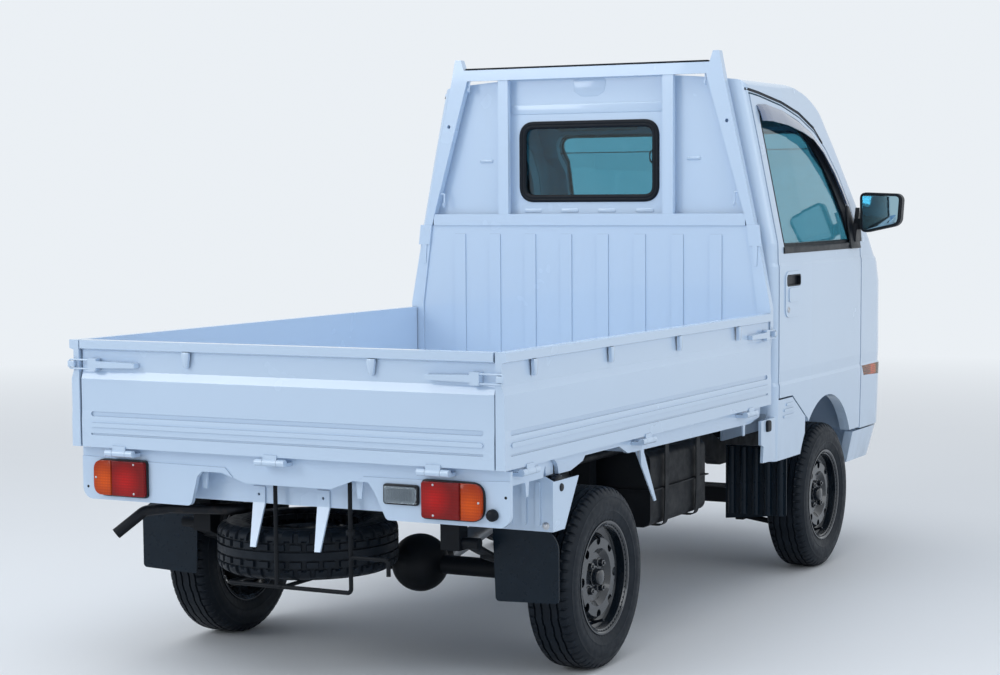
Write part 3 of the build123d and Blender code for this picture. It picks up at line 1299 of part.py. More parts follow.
# Rear lamps on the sill: (low x, high x, low z, high z), then how far they stand out
REAR_LAMPS = ((456.0, 641.0, 500.0, 607.0), (-617.0, -430.0, 500.0, 605.0), (-420.0, -312.0, 532.0, 587.0))
LAMP_PROUD = 20.0
LAMP_OUTER_R = 42.0
LAMP_INNER_R = 12.0
LAMP_SET = []
for x0, x1, z0, z1 in REAR_LAMPS:
    lamp = block(x0, x1, SILL_Y, SILL_Y + LAMP_PROUD, z0, z1)
    edges = lamp.edges().filter_by(Axis.Y).sort_by(lambda edge: abs(edge.center().X))
    if z1 - z0 > 2 * LAMP_OUTER_R:
        lamp = fillet(edges[2:], LAMP_OUTER_R)
        edges = lamp.edges().filter_by(Axis.Y).sort_by(lambda edge: abs(edge.center().X))
        LAMP_SET.append(fillet(edges[:2], LAMP_INNER_R))
    else:
        LAMP_SET.append(fillet(edges, LAMP_INNER_R))
save("rear_lamps", Compound(children=[s for lamp in LAMP_SET for s in lamp.solids()]))
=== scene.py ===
import math

import bmesh
import bpy
from mathutils import Matrix, Vector
from mathutils.bvhtree import BVHTree


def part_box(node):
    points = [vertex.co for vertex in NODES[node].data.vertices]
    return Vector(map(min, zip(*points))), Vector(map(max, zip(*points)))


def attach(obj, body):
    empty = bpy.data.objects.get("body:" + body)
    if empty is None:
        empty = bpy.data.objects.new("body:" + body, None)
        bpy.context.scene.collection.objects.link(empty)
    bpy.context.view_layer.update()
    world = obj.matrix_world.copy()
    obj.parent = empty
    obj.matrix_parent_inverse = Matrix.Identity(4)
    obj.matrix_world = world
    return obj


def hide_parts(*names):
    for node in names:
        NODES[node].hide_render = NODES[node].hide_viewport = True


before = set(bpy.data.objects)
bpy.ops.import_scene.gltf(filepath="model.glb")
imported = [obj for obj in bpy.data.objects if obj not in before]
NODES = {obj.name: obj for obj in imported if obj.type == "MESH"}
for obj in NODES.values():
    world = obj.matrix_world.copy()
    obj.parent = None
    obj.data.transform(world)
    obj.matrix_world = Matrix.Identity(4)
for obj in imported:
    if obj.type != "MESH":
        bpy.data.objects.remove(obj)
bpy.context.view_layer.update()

# Kei truck with a dropside bed: the finishes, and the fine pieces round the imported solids.
# Shapes are made in millimetres, as lists of points and faces, and turned into metres by piece().
# Front is -Y and the truck's left is +X.

MM = 0.001
SIDES = (("left", 1), ("right", -1))
CORNERS = (("rear_left", 1), ("rear_right", -1), ("front_left", 1), ("front_right", -1))


# Shapes

def join(*shapes):
    """One shape from several."""
    points, faces = [], []
    for some_points, some_faces in shapes:
        start = len(points)
        points += some_points
        faces += [[start + i for i in face] for face in some_faces]
    return points, faces


def placed(shape, matrix):
    """The shape moved by a matrix in millimetres."""
    points, faces = shape
    return [matrix @ Vector(p) for p in points], faces


def mirrored(shape, side):
    """The left-hand shape for side 1, its mirror image for side -1."""
    points, faces = shape
    if side > 0:
        return shape
    return [Vector((-p[0], p[1], p[2])) for p in points], [face[::-1] for face in faces]


def on_rear(shape, y):
    """Shape of the XY plane stood on a wall that faces the rear."""
    points, faces = shape
    return [Vector((p[0], y + p[2], p[1])) for p in points], faces


def on_front(shape, y):
    """Shape of the XY plane stood on a wall that faces the front."""
    points, faces = shape
    return [Vector((p[0], y - p[2], p[1])) for p in points], faces


def facing(origin, normal, up=(0, 0, 1)):
    """Matrix whose Z axis is the normal and whose Y axis is nearest to up."""
    z = Vector(normal).normalized()
    x = Vector(up).cross(z).normalized()
    y = z.cross(x)
    return Matrix.Translation(Vector(origin)) @ Matrix((x, y, z)).transposed().to_4x4()


def from_bmesh(bm):
    """Points and faces of a bmesh, which is freed."""
    bm.verts.index_update()
    points = [v.co.copy() for v in bm.verts]
    faces = [[v.index for v in face.verts] for face in bm.faces]
    bm.free()
    return points, faces


def bevelled(bm, width, segments=2, angle=30):
    """Round the sharp edges of a bmesh."""
    limit = math.radians(angle)
    sharp = [e for e in bm.edges if len(e.link_faces) == 2 and e.calc_face_angle() > limit]
    bmesh.ops.bevel(bm, geom=sharp, offset=width, segments=segments, profile=0.5, affect="EDGES")


def box(low, high, bevel=1.0, segments=2):
    """Box between two corners, with rounded edges."""
    bm = bmesh.new()
    bmesh.ops.create_cube(bm, size=1.0)
    low, high = Vector(low), Vector(high)
    for v in bm.verts:
        v.co = Vector((low[i] + (v.co[i] + 0.5) * (high[i] - low[i]) for i in range(3)))
    if bevel:
        bevelled(bm, bevel, segments)
    return from_bmesh(bm)


def plate(outline, depth, bevel=1.0, segments=2):
    """Outline in the XY plane raised by depth along Z, with rounded edges."""
    bm = bmesh.new()
    base = bm.faces.new([bm.verts.new((x, y, 0.0)) for x, y in outline])
    raised = bmesh.ops.extrude_face_region(bm, geom=[base])
    for item in raised["geom"]:
        if isinstance(item, bmesh.types.BMVert):
            item.co.z = depth
    bmesh.ops.recalc_face_normals(bm, faces=bm.faces)
    if bevel:
        rim = [e for e in bm.edges if all(abs(v.co.z - depth) < 1e-6 for v in e.verts)]
        bmesh.ops.bevel(bm, geom=rim, offset=bevel, segments=segments, profile=0.5, affect="EDGES")
    return from_bmesh(bm)


def grid_faces(rows, size, closed=False):
    """Quads between rings of size points; closed joins the last to the first, and open ends are capped."""
    faces = []
    for i in range(rows if closed else rows - 1):
        this, other = i * size, (i + 1) % rows * size
        for j in range(size):
            k = (j + 1) % size
            faces.append([this + j, this + k, other + k, other + j])
    if not closed:
        faces.append(list(range(size)))
        faces.append([(rows - 1) * size + j for j in range(size)][::-1])
    return faces


def turned(profile, steps=32):
    """Closed or open profile of (radius, height) turned about Z."""
    points, faces = [], []
    count = len(profile)
    for i in range(steps):
        angle = 2 * math.pi * i / steps
        for radius, height in profile:
            points.append(Vector((radius * math.cos(angle), radius * math.sin(angle), height)))
    for i in range(steps):
        this, other = i * count, (i + 1) % steps * count
        for j in range(count - 1):
            faces.append([this + j, other + j, other + j + 1, this + j + 1])
    return points, faces


ROUND_STEPS = 5


def rounded(corners, radius, steps=ROUND_STEPS):
    """Outline with its corners rounded; radius is one value or one for each corner."""
    count = len(corners)
    radii = radius if hasattr(radius, "__len__") else [radius] * count
    outline = []
    for i, corner in enumerate(corners):
        here = Vector(corner)
        before = Vector(corners[i - 1]) - here
        after = Vector(corners[(i + 1) % count]) - here
        turn = math.pi - before.angle(after)
        cut = min(radii[i] * math.tan(turn / 2), 0.48 * before.length, 0.48 * after.length)
        start = here + before.normalized() * cut
        end = here + after.normalized() * cut
        for k in range(steps + 1):
            t = k / steps
            outline.append(start * (1 - t) ** 2 + here * 2 * t * (1 - t) + end * t * t)
    return outline


def bent(corners, radius):
    """Inner corners of an open line, rounded, without its two ends."""
    return rounded(corners, radius)[ROUND_STEPS + 1:-ROUND_STEPS - 1]


def rectangle(x0, x1, y0, y1):
    return [(x0, y0), (x1, y0), (x1, y1), (x0, y1)]


def pad(x0, x1, y0, y1, radius, depth, bevel=1.0, segments=2, steps=ROUND_STEPS):
    """Plate with round corners, between x0 and x1 and between y0 and y1."""
    return plate(rounded(rectangle(x0, x1, y0, y1), radius, steps), depth, bevel, segments)


def slab(half_x, half_y, radius, depth, bevel=1.0, segments=2):
    """Plate with round corners about the origin."""
    return pad(-half_x, half_x, -half_y, half_y, radius, depth, bevel, segments)


def moved(shape, x, y, z):
    return placed(shape, Matrix.Translation((x, y, z)))


def scaled(profile, across, along):
    return [(p[0] * across, p[1] * along) for p in profile]


def sweep(path, normals, profile, closed=False):
    """Closed profile of (across, out) carried along a path; out is along each point's normal."""
    points = []
    count = len(path)
    for i, place in enumerate(path):
        here = Vector(place)
        ahead = Vector(path[(i + 1) % count] if closed or i + 1 < count else path[i])
        behind = Vector(path[i - 1] if closed or i > 0 else path[i])
        along = (ahead - behind).normalized()
        out = Vector(normals[i]).normalized()
        across = along.cross(out).normalized()
        points += [here + across * a + out * b for a, b in profile]
    return points, grid_faces(count, len(profile), closed)


def loft(rings):
    """Closed skin over rings of as many points each."""
    points = [Vector(p) for ring_points in rings for p in ring_points]
    return points, grid_faces(len(rings), len(rings[0]))


def tray(outer, inner, deep, floor):
    """Dish with its rim on the XY plane, deep inside, with a floor of that thickness."""
    low = -deep - floor
    return loft([
        [(x, y, -deep) for x, y in inner], [(x, y, 0) for x, y in inner],
        [(x, y, 0) for x, y in outer], [(x, y, low) for x, y in outer],
    ])


def ring(radius, sides):
    """Round profile for sweep()."""
    angles = [2 * math.pi * i / sides for i in range(sides)]
    return [(radius * math.cos(angle), radius * math.sin(angle)) for angle in angles]


BAR_NORMAL = (0.13, 0.29, 0.95)  # leans off every axis, so that no bar runs along it


def bar(corners, radius, bend=10.0, sides=10):
    """Round bar through corners, with rounded bends."""
    path = [Vector(corners[0])] + bent(corners, bend) + [Vector(corners[-1])]
    last = len(path) - 1
    normals = []
    normal = Vector(BAR_NORMAL)
    for i in range(len(path)):
        along = (path[min(i + 1, last)] - path[max(i - 1, 0)]).normalized()
        normal = (normal - along * normal.dot(along)).normalized()
        normals.append(normal.copy())
    return sweep(path, normals, ring(radius, sides))


def hexagon(flats, height):
    """Nut or bolt head standing on the XY plane."""
    corner = flats / math.sqrt(3)
    outline = [(corner * math.cos(math.pi * i / 3), corner * math.sin(math.pi * i / 3)) for i in range(6)]
    return plate(outline, height, bevel=min(1.5, height / 4), segments=1)


def bolt(origin, normal, flats, height):
    """Bolt head on its washer."""
    wide, narrow = flats * 0.95, flats * 0.9
    washer = turned([(0, 0), (wide, 0), (wide, 1.4), (narrow, 1.8), (0, 1.8)], 18)
    return placed(join(washer, hexagon(flats, height)), facing(origin, normal))


def piece(name, shape, body, material, sharp=40, slot=None):
    """Mesh object made from a shape in millimetres, riding on a body."""
    points, faces = shape
    mesh = bpy.data.meshes.new(name)
    mesh.from_pydata([[c * MM for c in p] for p in points], [], faces)
    bm = bmesh.new()
    bm.from_mesh(mesh)
    bmesh.ops.remove_doubles(bm, verts=bm.verts, dist=1e-6)
    bmesh.ops.dissolve_degenerate(bm, edges=bm.edges, dist=1e-6)
    bmesh.ops.recalc_face_normals(bm, faces=bm.faces)
    bm.to_mesh(mesh)
    bm.free()
    mesh.materials.append(material)
    mesh.shade_smooth()
    mesh.set_sharp_from_angle(angle=math.radians(sharp))
    obj = bpy.data.objects.new(name, mesh)
    bpy.context.scene.collection.objects.link(obj)
    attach(obj, body)
    return obj


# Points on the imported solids

TREES = {}


def on_node(node, origin, direction):
    """First point of a node that a ray meets, and the surface normal there, in millimetres."""
    if node not in TREES:
        mesh = NODES[node].data
        mesh.calc_loop_triangles()
        TREES[node] = BVHTree.FromPolygons(
            [v.co.copy() for v in mesh.vertices], [t.vertices[:] for t in mesh.loop_triangles]
        )
    point, normal = TREES[node].ray_cast(Vector(origin) * MM, Vector(direction))[:2]
    if point is None:
        return None, None
    if normal.dot(Vector(direction)) > 0:
        normal = -normal
    return point / MM, normal


def box_mm(node):
    low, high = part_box(node)
    return low / MM, high / MM


def pairs(*rows):
    """Left-hand shapes put on both sides, from rows of piece()'s values; {} in a body is the side's name."""
    for side_name, side in SIDES:
        for name, shape, body, *finish in rows:
            piece(f"{name}_{side_name}", mirrored(shape, side), body.format(side_name), *finish)


# Places of on_node()'s rays that start outside the truck
OUTSIDE_LEFT = 1200
OUTSIDE_FRONT = -2200
OUTSIDE_REAR = 2000


def from_left(node, y, z):
    return on_node(node, (OUTSIDE_LEFT, y, z), (-1, 0, 0))


def from_front(node, x, z):
    return on_node(node, (x, OUTSIDE_FRONT, z), (0, 1, 0))


def from_rear(node, x, z, start=OUTSIDE_REAR):
    return on_node(node, (x, start, z), (0, -1, 0))


def met(found):
    """Points and normals of the rays that met their node."""
    found = [spot for spot in found if spot[0] is not None]
    return [point for point, normal in found], [normal for point, normal in found]


def first_met(found, before=math.inf):
    """Point and normal of the first ray that met its node, in front of y = before."""
    return next((spot for spot in found if spot[0] is not None and spot[0].y < before), (None, None))


# Finishes

NOISE_SPAN = (0.3, 0.7)  # most of a noise node's values


class Nodes:
    """A node tree with short ways to add nodes."""

    def __init__(self, tree):
        self.tree = tree

    def fill(self, socket, value):
        """Link a socket, or set its value; a colour may come without its alpha."""
        if isinstance(value, bpy.types.NodeSocket):
            self.tree.links.new(value, socket)
        elif socket.type == "RGBA" and len(value) == 3:
            socket.default_value = (*value, 1.0)
        else:
            socket.default_value = value

    def add(self, kind, inputs=None, **settings):
        node = self.tree.nodes.new(kind)
        for key, value in settings.items():
            setattr(node, key, value)
        for key, value in (inputs or {}).items():
            self.fill(node.inputs[key], value)
        return node

    def math(self, operation, a, b):
        return self.add("ShaderNodeMath", {0: a, 1: b}, operation=operation).outputs[0]

    def backdrop_rays(self):
        """1 for rays that meet the backdrop as a picture: from the camera, a gloss or through glass."""
        rays = self.add("ShaderNodeLightPath").outputs
        indirect = self.math("MAXIMUM", rays["Is Glossy Ray"], rays["Is Transmission Ray"])
        return self.math("MAXIMUM", rays["Is Camera Ray"], indirect)


class Graph(Nodes):
    """A material's node tree."""

    def __init__(self, name):
        self.material = bpy.data.materials.new(name)
        self.material.use_nodes = True
        super().__init__(self.material.node_tree)
        self.shader = self.tree.nodes["Principled BSDF"]
        self.place = self.add("ShaderNodeTexCoord").outputs["Object"]

    def noise(self, scale, detail=4.0, roughness=0.55, place=None):
        settings = {"Vector": place or self.place, "Scale": scale, "Detail": detail, "Roughness": roughness}
        return self.add("ShaderNodeTexNoise", settings).outputs[0]

    def wave(self, scale, direction, distortion=0.0, **inputs):
        inputs = {"Vector": self.place, "Scale": scale, "Distortion": distortion, **inputs}
        return self.add("ShaderNodeTexWave", inputs, bands_direction=direction).outputs[1]

    def stretched(self, x, y, z):
        return self.add("ShaderNodeMapping", {"Vector": self.place, "Scale": (x, y, z)}).outputs[0]

    def axis(self, name):
        return self.add("ShaderNodeSeparateXYZ", {"Vector": self.place}).outputs[name]

    def remap(self, value, low, high, to_low=0.0, to_high=1.0):
        inputs = {"Value": value, "From Min": low, "From Max": high, "To Min": to_low, "To Max": to_high}
        return self.add("ShaderNodeMapRange", inputs).outputs[0]

    def mix(self, factor, a, b):
        return self.add("ShaderNodeMix", {0: factor, 6: a, 7: b}, data_type="RGBA").outputs[2]

    def set(self, **values):
        for key, value in values.items():
            self.fill(self.shader.inputs[key.replace("_", " ")], value)

    def uneven_gloss(self, noise, low, high):
        """Roughness that wanders between low and high."""
        self.set(Roughness=self.remap(noise, *NOISE_SPAN, low, high))

    def bump(self, height, strength, distance):
        inputs = {"Height": height, "Strength": strength, "Distance": distance}
        self.set(Normal=self.add("ShaderNodeBump", inputs).outputs[0])


def plain_finish(name, colour, worn, roughness, spread=0.08,
                 grain=350.0, depth=0.0004, strength=0.3, **values):
    """A mottled colour with uneven gloss and a fine grain."""
    g = Graph(name)
    g.set(Base_Color=g.mix(g.remap(g.noise(6.0), *NOISE_SPAN), colour, worn))
    g.uneven_gloss(g.noise(24.0), roughness - spread, roughness + spread)
    g.bump(g.noise(grain, 2.0), strength, depth)
    g.set(**values)
    return g.material


def paint_finish(name, colour, shaded, grime_and_shade):
    """Gloss paint: faint orange peel, painted shade in the seams, corners and recesses, road film low down.
    """
    g = Graph(name)
    tone = g.mix(g.remap(g.noise(0.8, 2.0), 0.35, 0.65), colour, shaded)
    low = g.remap(g.axis("Z"), 0.55, 0.30, 0.0, 0.4)
    streaks = g.remap(g.noise(9.0, 6.0, 0.7, g.stretched(1.0, 1.0, 0.25)), 0.42, 0.72)
    tone = g.mix(g.math("MULTIPLY", low, streaks), tone, grime_and_shade)
    # Painted shade: an AO node darkens seams, corners and recesses towards the grime colour.
    crevice_shade = g.add("ShaderNodeAmbientOcclusion", {"Distance": 0.012}, samples=8).outputs["AO"]
    g.set(Base_Color=g.mix(g.remap(crevice_shade, 0.2, 0.75, 0.5, 0.0), tone, grime_and_shade))
    g.uneven_gloss(g.noise(5.0, 3.0), 0.22, 0.28)
    g.bump(g.noise(420.0, 2.0), 0.012, 0.0003)
    g.set(Coat_Weight=0.6, Coat_Roughness=0.05)
    return g.material


def rubber_finish(name, colour, dusty, roughness, dust=0.7):
    """Rubber with dust in its lower places."""
    g = Graph(name)
    g.set(Base_Color=g.mix(g.remap(g.noise(22.0, 6.0, 0.65), 0.45, 0.8, 0.0, dust), colour, dusty))
    g.uneven_gloss(g.noise(60.0), roughness - 0.1, roughness + 0.08)
    g.bump(g.noise(700.0, 3.0), 0.25, 0.0005)
    g.set(Specular_IOR_Level=0.18)
    return g.material


def metal_finish(name, colour, rust, roughness, amount):
    """Bare or cast metal with rust patches."""
    g = Graph(name)
    spots = g.remap(g.noise(16.0, 8.0, 0.7), 0.62 - amount, 0.8 - amount)
    g.set(Base_Color=g.mix(spots, colour, rust))
    g.set(Metallic=g.remap(spots, 0.0, 1.0, 0.9, 0.1))
    g.set(Roughness=g.remap(spots, 0.0, 1.0, roughness, 0.8))
    g.bump(g.noise(180.0, 5.0), 0.25, 0.0008)
    return g.material


GLASS_VALUES = {"Transmission_Weight": 1.0, "IOR": 1.45}


def glass_finish(name, tint, roughness=0.02):
    """Clear glass with a tint and a thin film of dust."""
    g = Graph(name)
    film = g.remap(g.noise(5.0, 6.0), 0.4, 0.8, 0.0, 0.12)
    g.set(Base_Color=g.mix(film, tint, tuple(0.5 + 0.5 * c for c in tint)))
    g.set(Roughness=g.remap(g.noise(30.0, 6.0), 0.4, 0.8, roughness, roughness + 0.05))
    g.set(**GLASS_VALUES)
    return g.material


def front_lens_finish(name, clear, amber, split):
    """Clear lens in front, amber past the split on the corners."""
    g = Graph(name)
    corner = g.math("GREATER_THAN", g.math("ABSOLUTE", g.axis("X"), 0.0), split)
    g.set(Base_Color=g.mix(corner, clear, amber))
    g.uneven_gloss(g.noise(20.0), 0.02, 0.06)
    g.set(**GLASS_VALUES)
    g.bump(g.math("MULTIPLY", g.wave(45.0, "Z"), corner), 0.3, 0.001)
    return g.material


def lens_finish(name, colour, deep, bulbs):
    """Moulded lens: fine prisms under a clear skin, with a painted glow in front of its bulbs that stands for
    the reflection of a reflector behind.
    """
    g = Graph(name)
    cells = g.math("MULTIPLY", g.wave(55.0, "X"), g.wave(40.0, "Z"))
    # Painted light: near is a glow round each bulb's place that lifts the lens towards its light colour.
    near = None
    for bulb in bulbs:
        places = {0: g.place, 1: [c * MM for c in bulb]}
        gap = g.add("ShaderNodeVectorMath", places, operation="DISTANCE").outputs["Value"]
        painted_glow = g.remap(gap, 0.010, 0.055, 1.0, 0.0)
        near = painted_glow if near is None else g.math("MAXIMUM", near, painted_glow)
    mix = g.math("MULTIPLY", g.remap(cells, 0.0, 1.0, 0.6, 1.0), g.remap(near, 0.0, 1.0, 0.25, 1.0))
    g.set(Base_Color=g.mix(mix, deep, colour))
    g.uneven_gloss(g.noise(20.0), 0.08, 0.14)
    g.bump(cells, 0.25, 0.0008)
    g.set(Coat_Weight=0.35, Coat_Roughness=0.03, Specular_IOR_Level=0.12)
    return g.material


def fabric_finish(name, colour, light):
    """Woven seat cloth: two crossed thread waves with fluff."""
    g = Graph(name)
    threads = g.math("MAXIMUM", g.wave(260.0, "X", 1.5, Detail=1.0), g.wave(260.0, "Y", 1.5, Detail=1.0))
    g.set(Base_Color=g.mix(g.math("MULTIPLY", threads, g.noise(40.0, 5.0)), colour, light))
    g.uneven_gloss(g.noise(80.0), 0.85, 0.97)
    g.bump(threads, 0.5, 0.0006)
    g.set(Sheen_Weight=0.35, Sheen_Roughness=0.5)
    return g.material


def each_side(*names):
    return [f"{name}_{side_name}" for name in names for side_name, side in SIDES]


def each_corner(name):
    return [f"{name}_{corner}" for corner, side in CORNERS]


# Places of the painted glow on the red and amber lenses, in front of their bulbs.
RED_PAINTED_GLOWS = ((526, 1615, 546), (-472, 1615, 556))
AMBER_PAINTED_GLOWS = ((598, 1615, 545), (-578, 1615, 540))

# The last colour serves both the road film low down and the painted shade in the seams.
PAINT = paint_finish("paint_white", (0.55, 0.69, 0.86), (0.535, 0.675, 0.85), (0.10, 0.14, 0.19))
RUBBER = rubber_finish("rubber_black", (0.005, 0.008, 0.013), (0.010, 0.014, 0.020), 0.45, 0.4)
FLAP = rubber_finish("rubber_flap", (0.004, 0.011, 0.020), (0.010, 0.02, 0.031), 0.34, 0.5)
TYRE = rubber_finish("rubber_tyre", (0.005, 0.009, 0.015), (0.017, 0.024, 0.033), 0.5, 0.5)
BLACK = plain_finish("plastic_black", (0.006, 0.009, 0.014), (0.010, 0.014, 0.020), 0.38, grain=900.0,
                     Specular_IOR_Level=0.25)
WHEEL = plain_finish("wheel_black", (0.004, 0.008, 0.014), (0.008, 0.013, 0.02), 0.2, 0.05, Coat_Weight=0.6,
                     Coat_Roughness=0.05, strength=0.08)
UNDER = plain_finish("underbody_black", (0.004, 0.006, 0.009), (0.009, 0.011, 0.014), 0.5, 0.12, grain=160.0,
                     Specular_IOR_Level=0.15)
CAST = metal_finish("cast_iron", (0.05, 0.052, 0.056), (0.045, 0.028, 0.018), 0.6, 0.05)
EXHAUST = metal_finish("exhaust_steel", (0.018, 0.020, 0.024), (0.018, 0.012, 0.009), 0.42, 0.08)
STEEL = metal_finish("steel", (0.30, 0.31, 0.33), (0.10, 0.06, 0.035), 0.4, 0.04)
ZINC = metal_finish("zinc", (0.55, 0.57, 0.6), (0.3, 0.25, 0.2), 0.35, 0.0)
GREY = plain_finish("trim_grey", (0.20, 0.25, 0.30), (0.24, 0.29, 0.34), 0.35, 0.06,
                    grain=800.0, strength=0.1)
MIRROR_SHINE = plain_finish("mirror_shine", (0.74, 0.82, 0.86), (0.70, 0.78, 0.82), 0.05, 0.03, strength=0.02,
                            Metallic=1.0)
MIRROR_GLASS = plain_finish("mirror_glass", (0.34, 0.50, 0.57), (0.30, 0.46, 0.53), 0.05, 0.03, strength=0.02,
                            Metallic=1.0)
GLASS = glass_finish("glass_tint", (0.24, 0.53, 0.62))
VISOR = plain_finish("visor_smoke", (0.17, 0.24, 0.40), (0.20, 0.27, 0.43), 0.16, 0.04, strength=0.03,
                     Coat_Weight=0.8, Coat_Roughness=0.04, Transmission_Weight=0.35)
CLEAR = glass_finish("lens_clear", (0.9, 0.94, 0.96))
FRONT_LENS = front_lens_finish("front_lens", (0.9, 0.94, 0.96), (0.85, 0.24, 0.02), 0.591)
RED = lens_finish("lens_red", (0.62, 0.004, 0.003), (0.11, 0.0004, 0.001), RED_PAINTED_GLOWS)
AMBER = lens_finish("lens_amber", (0.80, 0.11, 0.002), (0.26, 0.012, 0.001), AMBER_PAINTED_GLOWS)
CLOTH = fabric_finish("seat_cloth", (0.07, 0.085, 0.10), (0.17, 0.19, 0.21))
VINYL = plain_finish("seat_vinyl", (0.045, 0.052, 0.062), (0.06, 0.068, 0.078), 0.5,
                     grain=600.0, depth=0.0007)
DASH = plain_finish("dash_grey", (0.07, 0.078, 0.088), (0.09, 0.098, 0.108), 0.6,
                    grain=700.0, depth=0.0007)
MAT = rubber_finish("floor_mat", (0.025, 0.028, 0.032), (0.07, 0.068, 0.062), 0.75)
LINER = plain_finish("headliner", (0.5, 0.52, 0.53), (0.55, 0.57, 0.58), 0.9, 0.04, grain=300.0)

TRIM = (BLACK, 40, "trim_black")

NODE_FINISHES = (
    (PAINT, ["cab_back", "cab_floor", "cab_front", "cab_roof", "front_bumper", "guard_frame", "headboard",
             "bed_floor", "rear_sill", "rear_beam", "tail_gate", "mudguards", "tail_latches",
             *each_side("cab_side", "door", "side_gate", "side_sill", "side_latch")]),
    (UNDER, ["chassis_frame", "front_beam", "rear_axle", "fuel_tank", "spare_carrier",
             *each_side("knuckle")]),
    (CAST, ["engine_block"]),
    (EXHAUST, ["exhaust"]),
    (STEEL, ["propshaft"]),
    (FLAP, ["mudflaps", "splash_panels"]),
    (TYRE, ["spare_wheel", *each_corner("tyre")]),
    (WHEEL, each_corner("rim")),
    (GLASS, ["cab_glass", *each_side("door_glass")]),
    (BLACK, ["steering_wheel", *each_side("mirror")]),
    (DASH, ["dashboard"]),
    (VINYL, ["seats"]),
    (RED, ["rear_lamps"]),
    (FRONT_LENS, ["front_lamps"]),
)


def finish_nodes():
    """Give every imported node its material."""
    for material, names in NODE_FINISHES:
        for name in names:
            NODES[name].data.materials.clear()
            NODES[name].data.materials.append(material)


# Tyres and wheels

TREAD_PITCHES = 60
TREAD_STEPS = (0.0, 0.1, 0.26, 0.36, 0.68)
GROOVE_DEPTH = 6.5
ZIGZAG = 1.8
TYRE_PROFILE = (
    (0, 260), (10.5, 260), (11.4, "groove"), (15.6, "groove"), (16.5, 260), (25, 260), (32.5, 260),
    (33.4, "groove"), (37.6, "groove"), (38.5, 259.7), (44, 259.2), (49, 258.2), (53, 256.8), (57.5, 253.5),
    (61.5, 248), (64, 243), (67, 237), (68.6, 233), (69.8, 232), (69.9, 230.5), (69.6, 229), (71.5, 222),
    (72.5, 214), (72.5, 205), (71.4, 197), (70.6, 192), (71.0, 190.5), (70.2, 189), (68.0, 180), (65.0, 172),
    (63.5, 167.5), (61.2, 164.5), (61, 152.2),
)
TYRE_COLUMNS = [(-a, r) for a, r in reversed(TYRE_PROFILE[1:])] + list(TYRE_PROFILE)
TYRE_R = 260.0
ZIGZAG_SPAN = (9.0, 40.0)
SHOULDER = (40.0, 62.5)
SHOULDER_STEPS = (1, 2)
SHOULDER_CUT = 5.0
SHOULDER_MILD = 58.0  # from here out, cuts are half as deep


def tread(steps, pitches, place):
    """Tyre about the X axis; place(pitch, step, across, radius) gives a point's own across and radius."""
    points = []
    for pitch in range(pitches):
        for k, share in enumerate(steps):
            angle = 2 * math.pi * (pitch + share) / pitches
            for column in TYRE_COLUMNS:
                across, reach = place(pitch, k, *column)
                points.append(Vector((across, reach * math.cos(angle), reach * math.sin(angle))))
    return points, grid_faces(pitches * len(steps), len(TYRE_COLUMNS), closed=True)


def road_point(pitch, step, across, radius):
    """Zigzag grooves and shoulder cuts of the road tyres."""
    far = abs(across)
    reach = TYRE_R - GROOVE_DEPTH if radius == "groove" else radius
    phase = (TREAD_STEPS[step] + 0.5 * (pitch % 2)) % 1.0
    if ZIGZAG_SPAN[0] < far < ZIGZAG_SPAN[1]:
        across += ZIGZAG * (1 - abs(2 * phase - 1) * 2)
    if step in SHOULDER_STEPS and SHOULDER[0] < far < SHOULDER[1]:
        reach -= SHOULDER_CUT if far < SHOULDER_MILD else SHOULDER_CUT / 2
    return across, reach


NUT_CIRCLE_R = 50.0
NUT_COUNT = 4
DISC_FACE = 26.0
CAP_PROFILE = ((27, 0), (27, 4), (25, 5), (24, 20), (21, 25), (14, 27.5), (0, 28))
NUT_SEAT = ((15, -1), (15, 1), (12, 3), (10, 3.2), (0, 3.2))
NUT_SIZE = (19, 13)
STUD = ((5, 14), (5, 19), (4, 20), (0, 20))
VALVE_ENDS = ((24, 0, -132), (58, 0, -122))
VALVE = ((5.5, 0), (5, 10), (3.8, 14), (3.8, 24), (4.6, 25), (4.6, 34), (3.8, 35), (0, 35))


def wheel_fittings(side, centre):
    """Nuts and hub cap on the outer face of a wheel."""
    out = Vector((side, 0, 0))
    face = centre + out * DISC_FACE
    nut = join(turned(NUT_SEAT, 24), moved(hexagon(*NUT_SIZE), 0, 0, 3), turned(STUD, 16))
    shapes = [placed(turned(CAP_PROFILE, 36), facing(face, out))]
    for i in range(NUT_COUNT):
        angle = math.radians(45 + 360 * i / NUT_COUNT)
        place = face + Vector((0, math.cos(angle), math.sin(angle))) * NUT_CIRCLE_R
        shapes.append(placed(nut, facing(place, out)))
    return join(*shapes)


def valve(side, centre):
    """Rubber valve through the rim's outer well."""
    root, tip = [centre + Vector((side * x, y, z)) for x, y, z in VALVE_ENDS]
    return placed(turned(VALVE, 16), facing(root, tip - root, (0, 1, 0)))


def make_wheels():
    tyre = tread(TREAD_STEPS, TREAD_PITCHES, road_point)
    for corner, side in CORNERS:
        low, high = box_mm("tyre_" + corner)
        centre = (low + high) / 2
        body = "wheel_" + corner
        obj = piece("tread_tyre_" + corner, moved(tyre, *centre), body, TYRE, 28, "tyre_rubber")
        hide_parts("tyre_" + corner)
        piece("wheel_nuts_" + corner, wheel_fittings(side, centre), body, WHEEL, 35, "wheel_black")
        piece("valve_" + corner, valve(side, centre), body, RUBBER)


# Window surrounds

